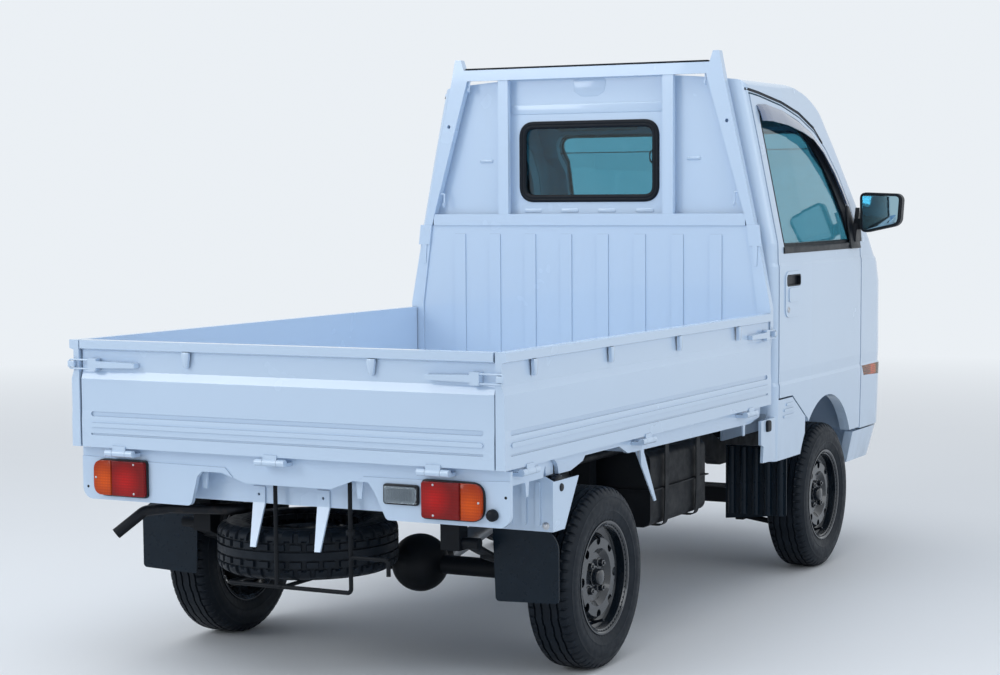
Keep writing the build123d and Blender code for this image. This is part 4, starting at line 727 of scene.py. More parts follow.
DOOR_WINDOW = (
    (-430, 1160), (-430, 1600), (-470, 1635), (-664, 1614), (-820, 1580), (-944, 1534), (-1026, 1480),
    (-1110, 1392), (-1172, 1290), (-1215, 1160),
)
CHANNEL_PROFILE = ((-7, -13), (2, -13), (2, 0.5), (-1, 1.6), (-5, 1.0), (-7, -1))
BELT = ((-426, 1152), (-1240, 1152))
BELT_PROFILE = ((-11, -1), (11, -1), (11, 3), (8, 4.5), (-6, 4.5), (-11, 2))
BELT_LIP = ((-437, 1169), (-1160, 1169))
LIP_PROFILE = ((-6, 0.2), (6, 0.2), (6, 5), (3, 7.5), (-6, 7.5))

# Black run before the glass: (y, z) of its front edge and its width
WINDOW_RUN = (
    ((-790, 1586), 5), ((-870, 1560), 16), ((-944, 1533), 28), ((-1026, 1479), 38), ((-1110, 1391), 42),
    ((-1172, 1289), 44), ((-1212, 1166), 46),
)

# Rain visor: (y, z) of its upper edge, its width and how far its lip stands off
VISOR_ROWS = (
    ((-420, 1638), 50, 9), ((-440, 1643), 54, 16), ((-500, 1645), 56, 21), ((-650, 1629), 51, 23),
    ((-800, 1598), 43, 23), ((-905, 1565), 34, 21), ((-1000, 1511), 27, 18), ((-1090, 1434), 24, 15),
    ((-1150, 1363), 22, 12), ((-1190, 1306), 18, 7),
)
VISOR_SHEET = 2.5
SAIL = ((-1128, 1141), (-1246, 1141), (-1244, 1182), (-1196, 1296), (-1176, 1300), (-1146, 1212))


def grown(outline, distance):
    """Outline with its points moved outwards, for a clockwise or anticlockwise outline."""
    count = len(outline)
    area = sum(outline[i - 1][0] * outline[i][1] - outline[i][0] * outline[i - 1][1] for i in range(count))
    sign = 1 if area > 0 else -1
    moved = []
    for i in range(count):
        before = (Vector(outline[i]) - Vector(outline[i - 1])).normalized()
        after = (Vector(outline[(i + 1) % count]) - Vector(outline[i])).normalized()
        normal = Vector((before.y + after.y, -before.x - after.x)).normalized() * sign
        stretch = 1 / max(0.4, math.sqrt((1 + before.dot(after)) / 2))
        moved.append(Vector(outline[i]) + normal * distance * stretch)
    return moved


def dense(outline, step, closed=True):
    """Outline with extra points so that no stretch is longer than step."""
    path = []
    count = len(outline)
    for i in range(count if closed else count - 1):
        start, end = Vector(outline[i]), Vector(outline[(i + 1) % count])
        parts = max(1, math.ceil((end - start).length / step))
        path += [start.lerp(end, k / parts) for k in range(parts)]
    if not closed:
        path.append(Vector(outline[-1]))
    return path


def left_path(outline, node):
    """Points of a (y, z) outline on the outer face of a left-hand node, with their normals."""
    return met(from_left(node, y, z) for y, z in outline)


WINDOW_MIDDLE = Vector((-800, 1350))


AIM_SHARES = (0.0, 0.03, 0.06, 0.1, 0.15, 0.2)


def face_near(node, y, z, origin=OUTSIDE_LEFT, direction=-1):
    """Function of (y, z) that gives x on the plane of a left-hand node's face near a point."""
    for share in AIM_SHARES:
        aim = Vector((y, z)).lerp(WINDOW_MIDDLE, share)
        point, normal = on_node(node, (origin, aim.x, aim.y), (direction, 0, 0))
        if point is not None:
            break

    def reach(at_y, at_z):
        return point.x - (normal.y * (at_y - point.y) + normal.z * (at_z - point.z)) / normal.x

    return reach


def stations(rows, step=30.0):
    """Rows of ((y, z), values...) with more rows between, each with its direction into the window."""
    filled = []
    for first, second in zip(rows, rows[1:]):
        start, end = Vector(first[0]), Vector(second[0])
        parts = max(1, math.ceil((end - start).length / step))
        for k in range(parts):
            share = k / parts
            values = [a + (b - a) * share for a, b in zip(first[1:], second[1:])]
            filled.append([start.lerp(end, share)] + values)
    filled.append([Vector(rows[-1][0])] + list(rows[-1][1:]))
    result = []
    for i, row in enumerate(filled):
        ahead = filled[min(i + 1, len(filled) - 1)][0]
        behind = filled[max(i - 1, 0)][0]
        along = (ahead - behind).normalized()
        result.append((row[0], Vector((-along.y, along.x)), *row[1:]))
    return result


RUN_UNDER_SKIN = (1.5, 5.0)
RUN_OVER_GLASS = 0.3


def window_run():
    """Black run that fills the front of the left window, between skin and glass."""
    rings = []
    for place, inward, width in stations(WINDOW_RUN):
        skin = face_near("door_left", *(place - inward * 14))
        near, far = place + inward * 1.0, place + inward * width
        glass = face_near("door_glass_left", *far)
        rings.append([
            (skin(*near) - RUN_UNDER_SKIN[0], *near), (skin(*far) - RUN_UNDER_SKIN[1], *far),
            (glass(*far) + RUN_OVER_GLASS, *far), (glass(*near) + RUN_OVER_GLASS, *near),
        ])
    return loft(rings)


VISOR_CREST = (0.4, 4.5, 0.55)  # share of the width, height, and share of the lip's height


def visor():
    """Rain visor round the top of the left window."""
    rings = []
    across, up, share = VISOR_CREST
    thick = Vector((VISOR_SHEET, 0, 0))
    for place, inward, width, lift in stations(VISOR_ROWS, 22.0):
        skin = face_near("door_left", *(place - inward * 2))

        def spot(distance, height):
            at = place + inward * distance
            return Vector((skin(*at) + height, *at))

        crest = spot(width * across, up + lift * share)
        lip = spot(width, lift)
        rings.append([spot(-3, 0.4), spot(-2, up), crest, lip, lip - thick, crest - thick, spot(5, 1.0)])
    return loft(rings)


SAIL_RADII = (4, 6, 6, 8, 8, 20)
SAIL_SUNK = 0.6


def sail():
    """Black cover in the window's lower front corner, behind the mirror's foot."""
    skin = face_near("door_left", -1238, 1200)
    points, faces = plate(rounded(SAIL, SAIL_RADII), 6.0, 2.5, 3)
    return [Vector((skin(p[0], p[1]) - SAIL_SUNK + p[2], p[0], p[1])) for p in points], faces


def make_door_trim():
    """Window channel, run, belt strip, sail, visor and handle of the doors."""
    edge = dense(grown(rounded(DOOR_WINDOW, 26.0, 4), 2.0), 40.0)
    channel = sweep(*left_path(edge, "door_left"), CHANNEL_PROFILE, closed=True)
    belt = sweep(*left_path(dense(BELT, 60.0, closed=False), "door_left"), BELT_PROFILE)
    lip = sweep(*left_path(dense(BELT_LIP, 60.0, closed=False), "door_glass_left"), LIP_PROFILE)
    pairs(
        ("window_channel", channel, "door_{}", RUBBER, 50, "trim_black"),
        ("window_run", window_run(), "door_{}", RUBBER, 40, "trim_black"),
        ("belt_strip", belt, "door_{}", *TRIM),
        ("belt_lip", lip, "door_{}", RUBBER),
        ("window_sail", sail(), "door_{}", *TRIM),
        ("door_visor", visor(), "door_{}", VISOR, 35, "glass_tint"),
        *handle_rows(),
    )


HANDLE_Y = -507.0
CUP_MID_Z = 1049.0
CUP_HALF = (68.5, 18.5)
CUP_DEEP = 12.0
CUP_RADII = (11.0, (6, 6, 26, 26))
KEY_PLACE = (-452.0, 950.0)
KEY_BARREL = ((0, -2), (10, -2), (10, 1.6), (8.5, 3), (7, 3.2), (6.4, 2.2), (0, 2.2))


def handle_rows():
    """Black liner in the handle's cup, and the key cylinder under the pull."""
    point, normal = from_left("door_left", HANDLE_Y - 75, CUP_MID_Z)
    point = point + Vector((0, 75, 0))
    half_w, half_h = CUP_HALF
    box_outline = rectangle(-half_w, half_w, -half_h, half_h)
    outer = rounded(box_outline, CUP_RADII[0], 6)
    inner = rounded(grown(box_outline, -2.5), CUP_RADII[1], 6)
    cup = placed(tray(outer, inner, CUP_DEEP, 1.4), facing(point - normal * 0.4, normal))
    slit = box((-1.1, -4.3, 2.0), (1.1, 4.3, 2.7), 0.2, 1)
    lock = placed(join(turned(KEY_BARREL, 28), slit), facing(*from_left("door_left", *KEY_PLACE)))
    return ("handle_cup", cup, "door_{}", *TRIM), ("key_cylinder", lock, "door_{}", ZINC)


BACK_WINDOW = (-255, 255, 1332, 1588)
BACK_GASKET = ((-13, -8), (13, -8), (13, 2.5), (9, 6.0), (2, 6.5), (0, 5.2), (-2, 6.5), (-9, 6.0), (-13, 2.5))
SCREEN = ((-590, 1105), (590, 1105), (500, 1575), (-500, 1575))


def make_back_gasket():
    outline = dense(rounded(rectangle(*BACK_WINDOW), 44.0, 8), 40.0)
    y = box_mm("cab_back")[1].y
    path = [(x, y, z) for x, z in reversed(outline)]
    shape = sweep(path, [(0, 1, 0)] * len(path), BACK_GASKET, closed=True)
    piece("back_gasket", shape, "root", RUBBER, 45, "trim_black")


SCREEN_RADII = (60, 60, 70, 70)
SCREEN_BEFORE_Y = -900


def make_screen_gasket():
    outline = grown(dense(rounded(SCREEN, SCREEN_RADII, 7), 40.0), 6.0)
    line = [first_met((from_front(node, x, z) for node in ("cab_front", "cab_roof")), SCREEN_BEFORE_Y)
            for x, z in outline]
    piece("screen_gasket", sweep(*met(line), BACK_GASKET, closed=True), "root", RUBBER, 45, "trim_black")


# Lamps

TAIL_LAMPS = (("left", 1, (456.0, 641.0, 500.0, 607.0)), ("right", -1, (430.0, 617.0, 500.0, 605.0)))
LAMP_RADII = (12.0, 42.0, 42.0, 12.0)
REVERSE_LAMP = (-420.0, -312.0, 532.0, 587.0)
AMBER_SHARE = 0.36
LAMP_BASE = 5.0
LENS_DEEP = 13.5
LENS_INSET = 4.0
LENS_SPLIT = 0.5
LAMP_GAP = 0.2
RED_RADII = (9, 1.5, 1.5, 9)
AMBER_RADII = (1.5, 38, 38, 1.5)
AMBER_STEP = 0.6


def mirrored_flat(shape, side):
    """Flat shape for side 1, its mirror image for side -1."""
    points, faces = shape
    return [Vector((side * p[0], p[1], p[2])) for p in points], faces


LENS_EDGE = 2.2
LENS_SCREW = ((3.4, 0), (3.4, 0.6), (2.7, 1.5), (1.4, 2.0), (0, 2.1))
FLUTE_COUNT = 17
FLUTE_STEP = 5.0


def make_tail_lamps():
    """Tail lamps with a red and an amber lens, and the reversing lamp."""
    back = box_mm("rear_lamps")[0].y
    top = LAMP_BASE + LENS_DEEP
    for name, side, (near, far, low, high) in TAIL_LAMPS:
        split = far - AMBER_SHARE * (far - near)
        base = pad(near, far, low, high, LAMP_RADII, LAMP_BASE + 2.0, 1.5, steps=8)
        low_lens, high_lens = low + LENS_INSET, high - LENS_INSET
        red = pad(near + LENS_INSET, split - LENS_SPLIT, low_lens, high_lens,
                  RED_RADII, LENS_DEEP, LENS_EDGE, 3, 6)
        amber = pad(split + LENS_SPLIT, far - LENS_INSET, low_lens, high_lens,
                    AMBER_RADII, LENS_DEEP - AMBER_STEP, LENS_EDGE, 3, 8)
        spots = ((near + 40, high - 12, top - 0.4), (near + 40, low + 12, top - 0.4),
                 (far - 13, (low + high) / 2, top - 1.0))
        screws = join(*[moved(turned(LENS_SCREW, 14), *spot) for spot in spots])
        shapes = (base, moved(red, 0, 0, LAMP_BASE), moved(amber, 0, 0, LAMP_BASE), screws)
        laid = [on_rear(mirrored_flat(shape, side), back + LAMP_GAP) for shape in shapes]
        piece("lamp_base_" + name, laid[0], "root", *TRIM)
        piece("lamp_red_" + name, laid[1], "root", RED, 50, "lamp_red")
        piece("lamp_amber_" + name, laid[2], "root", AMBER, 50)
        piece("lamp_screws_" + name, laid[3], "root", ZINC)
    x0, x1, z0, z1 = REVERSE_LAMP
    base = pad(x0, x1, z0, z1, 10.0, 7.0, 2.0)
    piece("reverse_base", on_rear(base, back + LAMP_GAP), "root", *TRIM)
    dish = pad(x0 + 6, x1 - 6, z0 + 6, z1 - 6, 6.0, 1.5, 0.5)
    piece("reverse_reflector", on_rear(dish, back + 6.7), "root", GREY)
    lens = pad(x0 + 5, x1 - 5, z0 + 5, z1 - 5, 7.0, 9.0, 4.0, 4)
    piece("reverse_lens", on_rear(lens, back + 8.4), "root", CLEAR, 50, "lamp_clear")
    y = back + 9.8
    places = [x0 + 14 + FLUTE_STEP * i for i in range(FLUTE_COUNT)]
    flutes = [bar([(x, y, z0 + 12), (x, y, z1 - 12)], 1.1, 1.0, 6) for x in places]
    piece("reverse_flutes", join(*flutes), "root", CLEAR)
    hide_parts("rear_lamps")


# Bed, guard frame and tail fittings

GUARD_STRIP = ((-462, 462), (1784.5, 1791.5))


def make_guard_strip():
    """Rubber strip on the top rail."""
    rear = box_mm("guard_frame")[1].y
    (x0, x1), (z0, z1) = GUARD_STRIP
    piece("guard_strip", box((x0, rear - 22, z0), (x1, rear - 2, z1), 2.5), "root", RUBBER, 40, "trim_black")


FINGER_TOP = 919.0
FINGER_ROWS = (
    (11.0, 0.0, -1.0), (12.0, -4.0, 0.0), (12.0, -12.0, 0.0), (10.0, -22.0, -0.4), (8.5, -32.0, -0.8),
    (7.5, -39.0, -1.5), (5.0, -44.0, -3.5),
)
FINGER_FACE = 1.5
FINGER_DEEP = 12.0
TAIL_FINGER_X = (297.0, -297.0)
SIDE_FINGER_Y = (1466.0, 984.0, 492.0, 5.0)


def finger(middle, face):
    """Pressed rope hook under a gate's rim, at middle along the gate, its front at y = face."""
    rings = []
    for half, drop, lean in FINGER_ROWS:
        front = face + lean
        z = FINGER_TOP + drop
        rings.append([
            (middle - half, front - FINGER_DEEP, z), (middle + half, front - FINGER_DEEP, z),
            (middle + half, front - 3.0, z), (middle + half * 0.55, front, z),
            (middle - half * 0.55, front, z), (middle - half, front - 3.0, z),
        ])
    return loft(rings)


def make_fingers():
    """Rope hooks round the wires under the rims of the three gates."""
    face = box_mm("tail_gate")[1].y - FINGER_FACE
    piece("rope_fingers_tail", join(*[finger(x, face) for x in TAIL_FINGER_X]), "tail_gate", PAINT)
    face = box_mm("side_gate_left")[1].x - FINGER_FACE
    points, faces = join(*[finger(y, face) for y in SIDE_FINGER_Y])
    swapped = [Vector((p[1], p[0], p[2])) for p in points]
    pairs(("rope_fingers", (swapped, faces), "side_gate_{}", PAINT))


KEEPER_Z = (868.5, 885.5)
TAIL_KEEPER_X = (674.0, 688.0)
SIDE_KEEPER_Y = (-320.0, -307.0)


def make_keepers():
    """Hooks that the latches' wire bails hold: on the side gates' rear ends and on the posts."""
    z0, z1 = KEEPER_Z
    x0, x1 = TAIL_KEEPER_X
    tail = box_mm("tail_latches")[1].y
    end = box_mm("side_gate_left")[1].y
    shank = box((x0, end - 0.5, z0), (x1, tail - 0.8, z1), 1.0)
    hook = join(shank, box((x0, tail - 2.2, z0), (x1 + 7.5, tail - 0.2, z1), 0.8))
    y0, y1 = SIDE_KEEPER_Y
    proud = box_mm("side_latch_left")[1].x
    post = from_left("guard_frame", (y0 + y1) / 2, (z0 + z1) / 2)[0]
    shank = box((post.x - 0.5, y0, z0), (proud - 0.8, y1, z1), 1.0)
    second = join(shank, box((proud - 2.2, y0 - 7.5, z0), (proud - 0.2, y1, z1), 0.8))
    pairs(
        ("tail_keeper", hook, "side_gate_{}", PAINT, 40, "body_white"),
        ("side_keeper", second, "root", PAINT, 40, "body_white"),
    )


BLANK_PRESSING = ((-70, 1745), (60, 1745), (52, 1700), (26, 1684), (-36, 1684), (-62, 1700))
TOP_PRESSING = (-300, 300, 1626, 1660)
SLOT_PRESSINGS_X = (-214, -71, 72, 215)
GRIPS_X = (-395, 400)


def make_back_pressings():
    """Shallow pressed shapes of the cab's back panel, and its two grab handles."""
    y = box_mm("cab_back")[1].y
    shapes = [embossed(BLANK_PRESSING, y, 2.0, 14), embossed(rectangle(*TOP_PRESSING), y, 2.5, 14)]
    shapes += [embossed(rectangle(x - 34, x + 34, 1283, 1297), y, 2.5, 6) for x in SLOT_PRESSINGS_X]
    grips = [embossed(rectangle(x - 26, x + 26, 1459, 1472), y, 5.0, 5) for x in GRIPS_X]
    piece("back_pressings", join(*shapes), "root", PAINT, 60, "body_white")
    piece("back_grips", join(*grips), "root", PAINT, 60, "body_white")


def embossed(outline, y, height, radius):
    """Raised pad with soft edges on a panel that faces the rear."""
    return on_rear(plate(rounded(outline, radius), height, height * 0.95, 3), y - 0.4)


STOPPER = (-638.0, 521.0)
# Places of the black discs painted as the shade in the sill's drain holes.
SILL_HOLE_SHADES = ((670, 523), (-675, 568))


def make_sill_details():
    """Rubber stop of the rear sill, and black discs on it as painted shade in its drain holes."""
    y = box_mm("rear_lamps")[0].y
    stop = turned([(0, -2), (16, -2), (16, 9), (14, 14), (9, 17), (0, 18)], 28)
    piece("rubber_stop", placed(stop, facing((STOPPER[0], y, STOPPER[1]), (0, 1, 0))), "root", RUBBER)
    # Painted shade: each drain hole is a thin black disc on the sill's face.
    hole_shade = turned([(0, -0.5), (4.0, -0.5), (4.0, 0.3), (0, 0.3)], 16)
    places = met(from_rear("rear_sill", x, z) for x, z in SILL_HOLE_SHADES)[0]
    hole_shades = [placed(hole_shade, facing(place, (0, 1, 0))) for place in places]
    piece("sill_hole_shades", join(*hole_shades), "root", BLACK)


PLUG = (-283.0, 570.0)
GUARD_BOLTS = ((526, 456), (655, 456))
FILLER_CAP = (1274.0, 556.0)
FILLER_RIBS = 16
STRAP_LINE = ((-612, 588), (-612, 420), (-608, 326), (-382, 326), (-378, 420), (-378, 520))
STRAP_PLACES = (100, 350)
STRAP_PROFILE = ((-1.5, -14), (1.5, -14), (1.5, 14), (-1.5, 14))


def make_under_details():
    """Bolts on the guard plates, tank straps, the filler cap and the skirts' rubber plugs."""
    places = met(from_rear("mudguards", side * x, z) for side in (-1, 1) for x, z in GUARD_BOLTS)[0]
    bolts = [bolt(place, (0, 1, 0), 11, 5) for place in places]
    piece("guard_bolts", join(*bolts), "root", ZINC)
    low = box_mm("fuel_tank")[0]
    straps = []
    for step in STRAP_PLACES:
        corners = [STRAP_LINE[0], *bent(STRAP_LINE, 24.0), STRAP_LINE[-1]]
        line = [Vector((x, low.y + step, z)) for x, z in corners]
        straps.append(sweep(line, [(0, 1, 0)] * len(line), STRAP_PROFILE))
    piece("tank_straps", join(*straps), "root", UNDER, 40, "tank_black")
    cap = turned([(0, -4), (34, -4), (34, 9), (30, 13), (12, 14), (10, 19), (0, 20)], 32)
    rib = box((-1.5, 30, -3), (1.5, 35.5, 9), 0.6, 1)
    ribs = [placed(rib, Matrix.Rotation(2 * math.pi * i / FILLER_RIBS, 4, "Z")) for i in range(FILLER_RIBS)]
    place = facing((low.x + 2, *FILLER_CAP), (-1, 0, 0))
    piece("filler_cap", placed(join(cap, *ribs), place), "root", *TRIM)
    point, normal = from_left("cab_side_left", *PLUG)
    plug = placed(slab(19, 19, 11.0, 9.0, 4.0, 3), facing(point - normal, normal))
    pairs(("skirt_plug", plug, "root", RUBBER, 40, "trim_black"))


SPARE_RIM = (
    (161, -56), (166, -60), (169, -56), (167, -51), (158, -47), (149, -40), (134, -28), (131, -12),
    (131, 14), (138, 34), (150, 42), (158, 47), (167, 51), (169, 56), (166, 60), (161, 56), (153, 47),
    (145, 40), (133, 36), (126, 14), (126, 2), (112, -8), (70, -12), (52, -4), (32, -4), (32, -8),
    (54, -9), (72, -17), (116, -13), (126, -12), (129, -30), (146, -45), (154, -50), (161, -56),
)
SPARE_PITCHES = 34
SPARE_STEPS = (0.0, 0.05, 0.3, 0.35, 0.5, 0.55, 0.8, 0.85)
SPARE_CUT = 8.0
SPARE_CUTS = (((1, 2), 16, 40), ((5, 6), 33, 68.5))  # steps that are cut, and from where to where across
SPARE_MILD = 60.0


def coarse_point(pitch, step, across, radius):
    """Coarse blocks of the spare tyre, the inner and outer ones half a pitch apart."""
    far = abs(across)
    if radius == "groove":
        return across, TYRE_R - SPARE_CUT
    if any(step in steps and low < far < high for steps, low, high in SPARE_CUTS):
        radius -= SPARE_CUT if far < SPARE_MILD else SPARE_CUT / 2
    return across, radius


def make_spare():
    """Spare wheel that lies under the bed: coarse tyre and steel rim."""
    low, high = box_mm("spare_wheel")
    centre = Matrix.Translation((low + high) / 2)
    shape = tread(SPARE_STEPS, SPARE_PITCHES, coarse_point)
    tyre = placed(shape, centre @ Matrix.Rotation(math.pi / 2, 4, "Y"))
    obj = piece("spare_tyre", tyre, "root", TYRE, 28, "tyre_rubber")
    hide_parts("spare_wheel")
    piece("spare_rim", placed(turned(SPARE_RIM, 72), centre), "root", WHEEL, 35, "wheel_black")


# Cab outside

DRIP_LINE = ((-353, 1699), (-455, 1690), (-664, 1664), (-834, 1631), (-976, 1580), (-1040, 1530))
# Profile of the black strip painted as the shade in the gap under the gutter.
DRIP_SHADE_PROFILE = ((-4.5, -1.5), (3.5, -1.5), (3.5, 1.4), (-3.5, 2.2), (-4.5, 1.0))


def make_drip_shade_strips():
    """Black rubber strip under the roof's gutters, painted shade of the gap between gutter and door frame."""
    line = [first_met(from_left(node, y, z - 4.5) for node in ("cab_roof", "cab_side_left", "cab_front"))
            for y, z in dense(DRIP_LINE, 25.0, closed=False)]
    pairs(("drip_seal", sweep(*met(line), DRIP_SHADE_PROFILE), "root", RUBBER, 50, "trim_black"))


MIRROR_FACE = ((866.5, 1340), (706, 1347), (710, 1194), (858, 1226))
MIRROR_RADII = (26, 24, 26, 34)
MIRROR_RIM = 10.5
MIRROR_RINGS = ((-0.6, -0.5), (-2.0, 2.5), (1.0 - MIRROR_RIM, 2.5), (-MIRROR_RIM, -0.5))  # (grown by, height)


def make_mirrors():
    """Rim and glass of the door mirrors, on the face that looks to the rear."""
    outline = rounded(MIRROR_FACE, MIRROR_RADII, 8)
    face = from_rear("mirror_left", 790, 1270, 0)[0].y
    rings = [[Vector((x, face + up, z)) for x, z in grown(outline, by)] for by, up in MIRROR_RINGS]
    rim = sum(rings, []), grid_faces(len(rings), len(outline), closed=True)
    glass = on_rear(plate(grown(outline, 0.8 - MIRROR_RIM), 1.6, 0.5), face - 0.4)
    pairs(
        ("mirror_rim", rim, "door_{}", BLACK),
        ("mirror_glass", glass, "door_{}", MIRROR_GLASS),
    )


WIPERS = (((-430, 1080), (20, 1215)), ((40, 1080), (470, 1200)))
WIPER_PIVOT = ((0, -1), (13, -1), (13, 10), (8, 16), (0, 17))
WIPER_LIFTS = (14, 20, 13)
BLADE_HALF = (215, 30)
BLADE_STEPS = 14
BLADE_PROFILE = ((-0.8, 0.2), (0.8, 0.2), (1.2, 4), (3, 6), (3, 10), (-3, 10), (-3, 6), (-1.2, 4))


def make_wipers():
    """Two wiper arms with blades on the windscreen."""
    shapes = []
    at_foot, midway, at_tip = WIPER_LIFTS
    for foot_place, (tip_x, tip_z) in WIPERS:
        foot, foot_n = from_front("cab_front", *foot_place)
        tip, tip_n = from_front("cab_glass", tip_x, tip_z)
        shapes.append(placed(turned(WIPER_PIVOT, 20), facing(foot, foot_n)))
        arm = [foot + foot_n * at_foot, foot.lerp(tip, 0.3) + tip_n * midway, tip + tip_n * at_tip]
        shapes.append(bar(arm, 4.5, 20, 8))
        shapes.append(placed(box((-9, -22, 7), (9, 22, 15), 3), facing(tip, tip_n, (1, 0, 0.2))))
        half_x, half_z = BLADE_HALF
        shares = [k / BLADE_STEPS for k in range(BLADE_STEPS + 1)]
        line = [(tip_x - half_x + 2 * half_x * share, tip_z - half_z + 2 * half_z * share)
                for share in shares]
        shapes.append(sweep(*met(from_front("cab_glass", x, z) for x, z in line), BLADE_PROFILE))
    piece("wipers", join(*shapes), "root", BLACK, 45, "trim_black")


HEAD_MID = (481.0, 666.0)
HEAD_HALF = (109.0, 68.0)
HEAD_R = 20.0
HEAD_BACK = 26.0
BOWL = ((9, -46), (16, -44), (30, -34), (44, -20), (52, -8), (55, -1), (57, -1), (57, -4),
        (53, -12), (45, -24), (31, -38), (16, -48), (9, -50), (9, -46))
BULB = ((0, -52), (9, -52), (9, -38), (7, -34), (8.5, -26), (7.5, -18), (4, -13), (0, -12))
AIR_SLOT_Z = (652.0, 684.0)
AIR_SLOT_HALF = (236.0, 4.0)
MAIN_LAMP_X = -22
SIDE_LAMP_X = 66
BEZEL_PROFILE = ((-3.5, -3), (2.5, -3), (2.5, 0.8), (1, 1.8), (-2.5, 1.8), (-3.5, 0.8))
INSIDE_LAMP_Y = -1500
LENS_FLUTES = 13
LENS_FLUTE_STEP = 15.7
LENS_FLUTE_PROFILE = ((-2.2, 0.1), (2.2, 0.1), (0, 1.6))


def make_front():
    """Head lamps behind clear lenses, and black backs in the air slots."""
    mid_x, mid_z = HEAD_MID
    half_w, half_h = HEAD_HALF
    box_outline = rectangle(-half_w, half_w, -half_h, half_h)
    outer = rounded(grown(box_outline, -1.0), HEAD_R, 6)
    inner = rounded(grown(box_outline, -9.0), HEAD_R - 8, 6)
    back = from_front("front_lamps", mid_x, mid_z)[0].y + HEAD_BACK
    dish = on_front(moved(tray(outer, inner, 34.0, 2.0), mid_x, mid_z, 0), back)
    main_x, side_x = mid_x + MAIN_LAMP_X, mid_x + SIDE_LAMP_X
    bowls = join(moved(turned(BOWL, 40), main_x, mid_z, 0),
                 moved(turned(scaled(BOWL, 0.45, 0.6), 28), side_x, mid_z, 0))
    bulbs = join(moved(turned(BULB, 20), main_x, mid_z, 0),
                 moved(turned(scaled(BULB, 0.5, 0.6), 16), side_x, mid_z, 0))
    edge = rounded([(mid_x + x, mid_z + z) for x, z in grown(box_outline, -1.5)], HEAD_R, 6)
    bezel = sweep(*met(from_front("front_lamps", x, z) for x, z in edge), BEZEL_PROFILE, closed=True)
    flutes = []
    heights = [mid_z - half_h + 12 + k * (2 * half_h - 24) / 6 for k in range(7)]
    for i in range(LENS_FLUTES):
        x = mid_x - half_w + 15 + LENS_FLUTE_STEP * i
        line = met(from_rear("front_lamps", x, z, INSIDE_LAMP_Y) for z in heights)[0]
        if len(line) > 2:
            flutes.append(sweep(line, [(0, 1, 0)] * len(line), LENS_FLUTE_PROFILE))
    pairs(
        ("head_dish", join(dish, on_front(bowls, back)), "root", MIRROR_SHINE),
        ("head_bulb", on_front(bulbs, back), "root", CLEAR, 50),
        ("head_bezel", bezel, "root", *TRIM),
        ("head_flutes", join(*flutes), "root", CLEAR, 30),
    )
    backs = []
    half, tall = AIR_SLOT_HALF
    for z in AIR_SLOT_Z:
        face = from_front("cab_front", 0, z)[0].y
        backs.append(on_front(pad(-half, half, z - tall, z + tall, 3.5, 1.0, 0.3), face + 0.3))
    piece("air_slot_backs", join(*backs), "root", *TRIM)


BUCKET = (364.0, 600.0, 590.0, 742.0)
BUCKET_FLOOR_Y = -1529.0
SLOT_BACK_Y = (-1550.0, -1277.0)
SLOT_BACK_Z = (630.0, 712.0)
INTAKE_BACK_X = 306.0
INTAKE_BACK_Z = (364.0, 434.0)


BACK_STEPS = 12


def make_front_backs():
    """Black bucket behind each head lamp, strip behind the turn lens, and back of the bumper's intake."""
    outer = rounded(rectangle(*BUCKET), 14.0, 5)
    inner = grown(outer, -2.0)

    def rim(x):
        return from_rear("cab_front", x, BUCKET[3] + 4, -1200)[0].y

    floor = BUCKET_FLOOR_Y
    bucket = loft([
        [(x, floor - 2.0, z) for x, z in inner], [(x, rim(x) - 2.0, z) for x, z in inner],
        [(x, rim(x) - 2.0, z) for x, z in outer], [(x, floor, z) for x, z in outer],
    ])
    rings = []
    low, high = SLOT_BACK_Z
    for k in range(BACK_STEPS + 1):
        y = SLOT_BACK_Y[0] + (SLOT_BACK_Y[1] - SLOT_BACK_Y[0]) * k / BACK_STEPS
        x = on_node("cab_front", (0, y, high + 8), (1, 0, 0))[0].x
        rings.append([(x - 2.5, y, low), (x + 0.5, y, low), (x + 0.5, y, high), (x - 2.5, y, high)])
    pairs(("lamp_back", join(bucket, loft(rings)), "root", *TRIM))
    rings = []
    for k in range(BACK_STEPS + 1):
        x = INTAKE_BACK_X * (2 * k / BACK_STEPS - 1)
        ring_points = []
        for z, steps in zip(INTAKE_BACK_Z, ((-0.5, 2.5), (2.5, -0.5))):
            y = from_rear("front_bumper", x, z, -1300)[0].y
            ring_points += [(x, y + step, z) for step in steps]
        rings.append(ring_points)
    piece("intake_back", loft(rings), "root", *TRIM)


# Inside

def cushion_shape(low, high, radius, cells=18):
    """Closed rounded block as an even grid of points."""
    bm = bmesh.new()
    bmesh.ops.create_cube(bm, size=2.0)
    bmesh.ops.subdivide_edges(bm, edges=bm.edges, cuts=cells, use_grid_fill=True)
    low, high = Vector(low), Vector(high)
    half = (high - low) / 2
    middle = (high + low) / 2
    for v in bm.verts:
        whole = Vector([v.co[i] * half[i] for i in range(3)])
        core = Vector([max(-half[i] + radius, min(half[i] - radius, whole[i])) for i in range(3)])
        out = whole - core
        v.co = middle + core + (out.normalized() * radius if out.length > 1e-6 else out)
    return bm


CLOTH_FRAMES = 15


